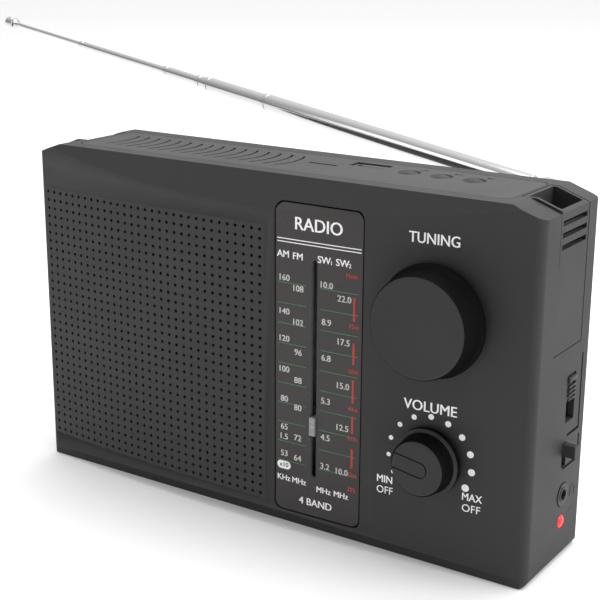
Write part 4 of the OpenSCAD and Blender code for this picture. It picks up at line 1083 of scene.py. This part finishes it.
@dataclass
class Controls:
    """Moulded signs, side sliders, headphone ferrule and other small controls."""

    sign: float = 0.9
    raised: float = 0.12
    sign_shift: tuple[float, float] = (3.0, 2.0)
    band_r: float = 1.7
    band_wide: float = 1.25
    headphone_at: tuple[float, float] = (14.2, 23.0)
    lamp_at: tuple[float, float] = (10.6, 15.0)
    slider_rib_pitch: float = 1.5

    def sign_shapes(self, kind: Symbol) -> list[bmesh.types.BMesh]:
        """Returns a button's sign round the origin in the XY plane."""
        size = self.sign
        turn = -1 if kind is Symbol.PREVIOUS else 1
        outline = [(-size * turn, -size), (size * turn, 0), (-size * turn, size)]
        shapes = [prism(outline, self.raised)]
        bars = {Symbol.PREVIOUS: (-1.5,), Symbol.NEXT: (1.2,), Symbol.PLAY: (1.3, 2.1)}
        for x in bars[kind]:
            shapes.append(box_shape((x * size, -size, 0), (x * size + 0.3, size, self.raised)))
        return shapes

    def signs(self) -> None:
        """Raised signs behind the three buttons."""
        shapes = []
        top = node_box("top_panel")[1].z - self.raised
        for kind in Symbol:
            node = "button_" + kind.value
            place = Matrix.Translation((node_middle(node).x + self.sign_shift[0],
                                        node_box(node)[1].y + self.sign_shift[1], top))
            for shape in self.sign_shapes(kind):
                shape.transform(place)
                shapes.append(shape)
        finish_mesh("button_signs", joined(shapes), [Finishes.BLACK], "cabinet",
                    weighted=False)

    def headphone_sign(self) -> None:
        """Raised headphone sign and lamp sign beside their sockets."""
        side = node_box("front_shell")[1].x
        band = bmesh.new()
        made = bmesh.ops.create_circle(band, segments=20, radius=self.band_r)
        lower = [v for v in made["verts"] if v.co.y < -0.3]
        bmesh.ops.delete(band, geom=lower, context="VERTS")
        outer = bmesh.ops.extrude_edge_only(band, edges=band.edges[:])
        bmesh.ops.scale(band, vec=(self.band_wide, self.band_wide, 1.0),
                        verts=only_verts(outer["geom"]))
        bmesh.ops.solidify(band, geom=band.faces[:], thickness=self.raised)
        shapes = [band, *(box_shape((x, -2.1, 0), (x + 0.8, -0.2, self.raised), 0.04)
                          for x in (-2.1, 1.3))]
        upright = Matrix(((0, 0, 1, 0), (1, 0, 0, 0), (0, 1, 0, 0), (0, 0, 0, 1)))
        for shape in shapes:
            shape.transform(Matrix.Translation((side + 0.01, *self.headphone_at)) @ upright)
            bmesh.ops.recalc_face_normals(shape, faces=shape.faces)
        y, z = self.lamp_at
        bars = [box_shape((side - 0.02, y + 1.1 * i, z + 0.5 * i),
                          (side + self.raised, y + 0.8 + 1.1 * i, z + 0.3 + 0.5 * i), 0.03)
                for i in range(4)]
        finish_mesh("side_signs", joined(shapes + bars), [Finishes.BLACK], "cabinet",
                    weighted=False)

    def sliders(self) -> None:
        """Ribbed band slider and the taller mode slider with a rounded tip."""
        shape = cad_copy("band_slider")
        soften(shape, 0.2)
        low, high = node_box("band_slider")
        feet = (low.z + 0.9 + self.slider_rib_pitch * i for i in range(4))
        ribs = [box_shape((high.x - 0.85, low.y + 0.2, z), (high.x - 0.2, high.y - 0.2, z + 0.7),
                          0.12) for z in feet]
        node_skin("band_slider", joined([shape, *ribs]), [Finishes.BLACK], "band_slider",
                  weighted=False)
        shape = cad_copy("mode_slider")
        soften(shape, 0.55, segments=3)
        node_skin("mode_slider", shape, [Finishes.CABINET], "mode_slider")

    def ferrule(self) -> None:
        """Black ring round the headphone hole."""
        centre, face = node_middle("headphone_socket"), node_box("headphone_socket")[1].x
        centre.x = 0
        inner, outer = 1.95, 2.75
        profile = [(inner, face - 0.3), (outer, face - 0.3), (outer, face + 0.1),
                   (outer - 0.15, face + 0.25), (inner + 0.15, face + 0.25), (inner, face + 0.1)]
        finish_mesh("headphone_ferrule", spun(profile, Vector((1, 0, 0)), centre, 48),
                    [Finishes.BLACK], "cabinet")

    def build(self) -> None:
        """Builds the small controls."""
        self.signs()
        self.headphone_sign()
        self.sliders()
        self.ferrule()


# ---------------------------------------------------------------- aerial


@dataclass
class Aerial:
    """Six telescopic sections on a swivel, each with its rolled-in end."""

    pivot: Vector
    along: Vector
    sections: tuple[str, ...] = ("aerial_tube_1", "aerial_tube_2", "aerial_tube_3",
                                 "aerial_tube_4", "aerial_tube_5", "aerial_rod")
    wall: float = 0.4
    roll: float = 0.32
    tongue_t: float = 2.5
    tongue_half: float = 2.55
    tongue_l: float = 10.6
    pin_lean: float = 6.4
    shaft: float = 1.0
    cap_l: float = 6.5
    cap_roll: float = 0.9

    def reach(self, node: str) -> tuple[float, float, float]:
        """Returns where a section starts and ends along the aerial, and its largest radius."""
        points = [vertex.co / MM - self.pivot for vertex in bpy.data.objects[node].data.vertices]
        distances = [point.dot(self.along) for point in points]
        radii = [(point - self.along * distance).length
                 for point, distance in zip(points, distances)]
        return min(distances), max(distances), max(radii)

    @staticmethod
    def rolled(radius: float, end: float, roll: float, step: int) -> list[tuple[float, float]]:
        """Returns the quarter round at an end, with a point every step degrees."""
        return [(radius - roll * (1 - math.cos(math.radians(a))),
                 end - roll * (1 - math.sin(math.radians(a)))) for a in range(0, 91, step)]

    def tube(self, number: int) -> None:
        """Builds a hollow section with a groove and a rolled end."""
        node = self.sections[number]
        start, end, radius = self.reach(node)
        if number == 0:
            start += self.tongue_l
        inner = radius - self.wall
        groove = radius - 0.16
        profile = [(inner, start), (radius - 0.1, start), (radius, start + 0.15),
                   (radius, end - 3.1), (groove, end - 2.9), (groove, end - 2.5),
                   (radius, end - 2.3), *self.rolled(radius, end, self.roll, 18),
                   (inner + 0.02, end), (inner, end - 0.3)]
        shapes = [spun(profile, self.along, self.pivot, 64)]
        if number == 0:
            shapes += [self.tongue(start), self.plug(start, inner)]
        node_skin(node, joined(shapes), [Finishes.CHROME], node)

    def plug(self, start: float, inner: float) -> bmesh.types.BMesh:
        """Returns the turned stop that closes the widest tube at the hinge."""
        profile = [(0.0, start - 0.6), (inner - 0.6, start - 0.6), (inner + 0.3, start),
                   (inner + 0.3, start + 0.01), (inner, start + 1.5), (0.0, start + 1.5)]
        return spun(profile, self.along, self.pivot, 48)

    def tongue(self, start: float) -> bmesh.types.BMesh:
        """Returns the flat tongue that turns on the hinge pin."""
        half = self.tongue_half
        outline = [(half * math.cos(math.radians(a)), half * math.sin(math.radians(a)))
                   for a in range(90, 271, 15)]
        outline += [(start + 0.5, -half * 0.9), (start + 0.5, half * 0.9)]
        shape = prism(outline, self.tongue_t)
        bmesh.ops.translate(shape, vec=(0, 0, -self.tongue_t / 2), verts=shape.verts)
        soften(shape, 0.2, least=60)
        across = self.pin_axis()
        side = across.cross(self.along).normalized()
        turn = Matrix((self.along, side, across)).transposed().to_4x4()
        shape.transform(Matrix.Translation(self.pivot) @ turn)
        return shape

    def pin_axis(self) -> Vector:
        """Returns the hinge pin's direction, square to the aerial."""
        lean = math.radians(self.pin_lean)
        guess = Vector((-math.sin(lean), 0, -math.cos(lean)))
        return (guess - self.along * guess.dot(self.along)).normalized()

    def rod(self) -> None:
        """Builds the thin end rod with its barrel-shaped cap."""
        node = self.sections[-1]
        start, end, cap = self.reach(node)
        shaft, foot = self.shaft, end - self.cap_l
        groove = cap - 0.18
        profile = [(0.0, start), (shaft, start), (shaft, foot - 0.2), (cap - 0.7, foot),
                   (cap - 0.15, foot + 0.35), (cap, foot + 0.9), (cap, foot + 1.7),
                   (groove, foot + 1.9), (groove, foot + 2.2), (cap, foot + 2.4),
                   *self.rolled(cap, end, self.cap_roll, 15), (0.0, end)]
        node_skin(node, spun(profile, self.along, self.pivot, 64), [Finishes.CHROME],
                  node)

    def build(self) -> None:
        """Builds all six sections."""
        for number in range(len(self.sections) - 1):
            self.tube(number)
        self.rod()


# ---------------------------------------------------------------- carried CAD nodes


@dataclass
class Works:
    """CAD nodes that keep their own shape and take a finish."""

    finishes: dict[Finishes, tuple[str, ...]] = field(default_factory=lambda: {
        Finishes.CABINET: ("button_previous", "button_play", "button_next"),
        Finishes.STEEL: ("battery_contacts", "battery_springs", "case_screws", "speaker_basket",
                         "speaker_screws", "board_screws", "tuning_shaft", "volume_shaft",
                         "usb_socket", "card_socket", "volume_control", "band_switch",
                         "mode_switch"),
        Finishes.CHROME: ("aerial_mount", "aerial_swivel", "aerial_pin"),
        Finishes.BOARD: ("main_board", "side_board", "media_board"),
        Finishes.GREY: ("board_components",),
        # The backplate's lighter grey is partly painted light, seen through the pointer's slot.
        Finishes.PALE_GREY: ("dial_backplate",),
        Finishes.PAPER: ("speaker_cone",),
        Finishes.MAGNET: ("speaker_magnet", "ferrite_rod"),
        Finishes.COPPER: ("ferrite_coil",),
        Finishes.WHITE: ("rod_holders", "tuning_drum", "tuning_capacitor", "pulley_top",
                         "pulley_bottom", "pulley_side"),
        Finishes.POINTER: ("dial_pointer",),
        Finishes.CELL: ("battery_cells",),
        Finishes.CORD: ("dial_cord",),
        Finishes.BLACK: ("button_switches", "headphone_socket"),
        Finishes.LED: ("power_light",),
    })

    def build(self) -> None:
        """Gives each carried node its finish."""
        for finish, nodes in self.finishes.items():
            for node in nodes:
                finish.apply(bpy.data.objects[node])
                LOG.info("%s keeps its shape, finished as %s", node, finish.value.name)


# ---------------------------------------------------------------- studio


@dataclass
class Studio:
    """Pale floor, soft lights and the camera."""

    eye: Point = (0.2611, -0.3907, 0.2141)
    azimuth: float = 33.6
    elevation: float = 16.3
    roll: float = -0.3
    lens: float = 80.2
    reach: float = 12.0
    sky: Point = (0.12, 0.46, 0.46)
    sky_level: float = 0.56
    floor_drop: float = 0.0002
    floor_glow: float = 0.14
    lamps: tuple[tuple[str, Point, Point, float, float], ...] = (
        ("top", (0.1, 0.35, 1.3), (0, 0, 0.1), 1.2, 14.0),
        ("right", (1.3, 0.25, 0.6), (0.1, 0, 0.06), 0.9, 7.0),
        ("left", (-1.0, -1.1, 0.7), (0, 0, 0.07), 0.8, 3.0))

    def floor(self) -> None:
        """Large pale floor."""
        shape = bmesh.new()
        bmesh.ops.create_grid(shape, x_segments=8, y_segments=8, size=self.reach,
                              matrix=Matrix.Translation((0, 0, -self.floor_drop)))
        mesh = bpy.data.meshes.new("floor")
        shape.to_mesh(mesh)
        shape.free()
        paper = bpy.data.materials.new("pale paper")
        paper.use_nodes = True
        tree = Tree(paper.node_tree)
        where = tree.node("TexCoord").outputs["Object"]
        tone = tree.mix(tree.noise(where, 3.0), (0.86, 0.86, 0.86, 1), (0.88, 0.88, 0.88, 1))
        Finish.feed(tree, paper.node_tree.nodes["Principled BSDF"], Base_Color=tone,
                    Roughness=0.7, Emission_Color=(1, 1, 1, 1), Emission_Strength=self.floor_glow)
        mesh.materials.append(paper)
        floor = bpy.data.objects.new("floor", mesh)
        bpy.context.scene.collection.objects.link(floor)

    def light(self, name: str, place: Point, aim: Point, size: float, power: float) -> None:
        """Adds a square soft light.

        Args:
            name: Name of the light.
            place: Where it hangs, in metres.
            aim: What it points at.
            size: Its side in metres.
            power: Its power in watts.
        """
        lamp = bpy.data.lights.new(name, "AREA")
        lamp.size = size
        lamp.energy = power
        holder = bpy.data.objects.new(name, lamp)
        holder.location = place
        direction = Vector(aim) - Vector(place)
        holder.rotation_euler = direction.to_track_quat("-Z", "Y").to_euler()
        bpy.context.scene.collection.objects.link(holder)

    def lights(self) -> None:
        """White surroundings, dimmer in front, with a large top light and side lights."""
        world = bpy.data.worlds.new("studio")
        world.use_nodes = True
        tree = Tree(world.node_tree)
        towards = tree.node("TexCoord").outputs["Generated"]
        level = tree.node("VectorMath", {0: towards, 1: self.sky}, operation="DOT_PRODUCT")
        bright = tree.math("ADD", level.outputs["Value"], self.sky_level)
        seen = tree.node("LightPath").outputs["Is Camera Ray"]
        bright = tree.math("MAXIMUM", bright, seen)
        Finish.feed(tree, world.node_tree.nodes["Background"], Color=(1, 1, 1, 1),
                    Strength=bright)
        bpy.context.scene.world = world
        for lamp in self.lamps:
            self.light(*lamp)

    def camera(self) -> None:
        """Camera at the set's right front, a little above it."""
        turn, tilt = math.radians(self.azimuth), math.radians(self.elevation)
        back = Vector((math.sin(turn) * math.cos(tilt), -math.cos(turn) * math.cos(tilt),
                       math.sin(tilt)))
        right = (-back).cross(Vector((0, 0, 1))).normalized()
        down = (-back).cross(right)
        roll = math.radians(self.roll)
        across = math.cos(roll) * right + math.sin(roll) * down
        upward = math.sin(roll) * right - math.cos(roll) * down
        matrix = Matrix((across, upward, back)).transposed().to_4x4()
        data = bpy.data.cameras.new("camera")
        data.lens = self.lens
        data.sensor_width = 36.0
        data.clip_start = 0.01
        made = bpy.data.objects.new("camera", data)
        made.matrix_world = Matrix.Translation(self.eye) @ matrix
        bpy.context.scene.collection.objects.link(made)
        bpy.context.scene.camera = made

    def build(self) -> None:
        """Sets up the studio."""
        self.floor()
        self.lights()
        self.camera()
        bpy.context.scene.view_settings.view_transform = "Standard"


def main() -> None:
    """Builds the receiver round its CAD frame."""
    logging.basicConfig(level=logging.INFO, format="%(name)s: %(message)s")
    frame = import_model()
    joints = {joint["name"]: joint for joint in frame["joints"]}
    Studio().build()
    Works().build()
    Cabinet().build()
    Dial().build()
    DialScale().build()
    FrontPrint().build()
    Knobs().build()
    Controls().build()
    Aerial(pivot=Vector(joints["aerial_tilt"]["pos_m"]) / MM,
           along=Vector(joints["aerial_pull_2"]["axis"]).normalized()).build()


if __name__ == "__main__":
    main()
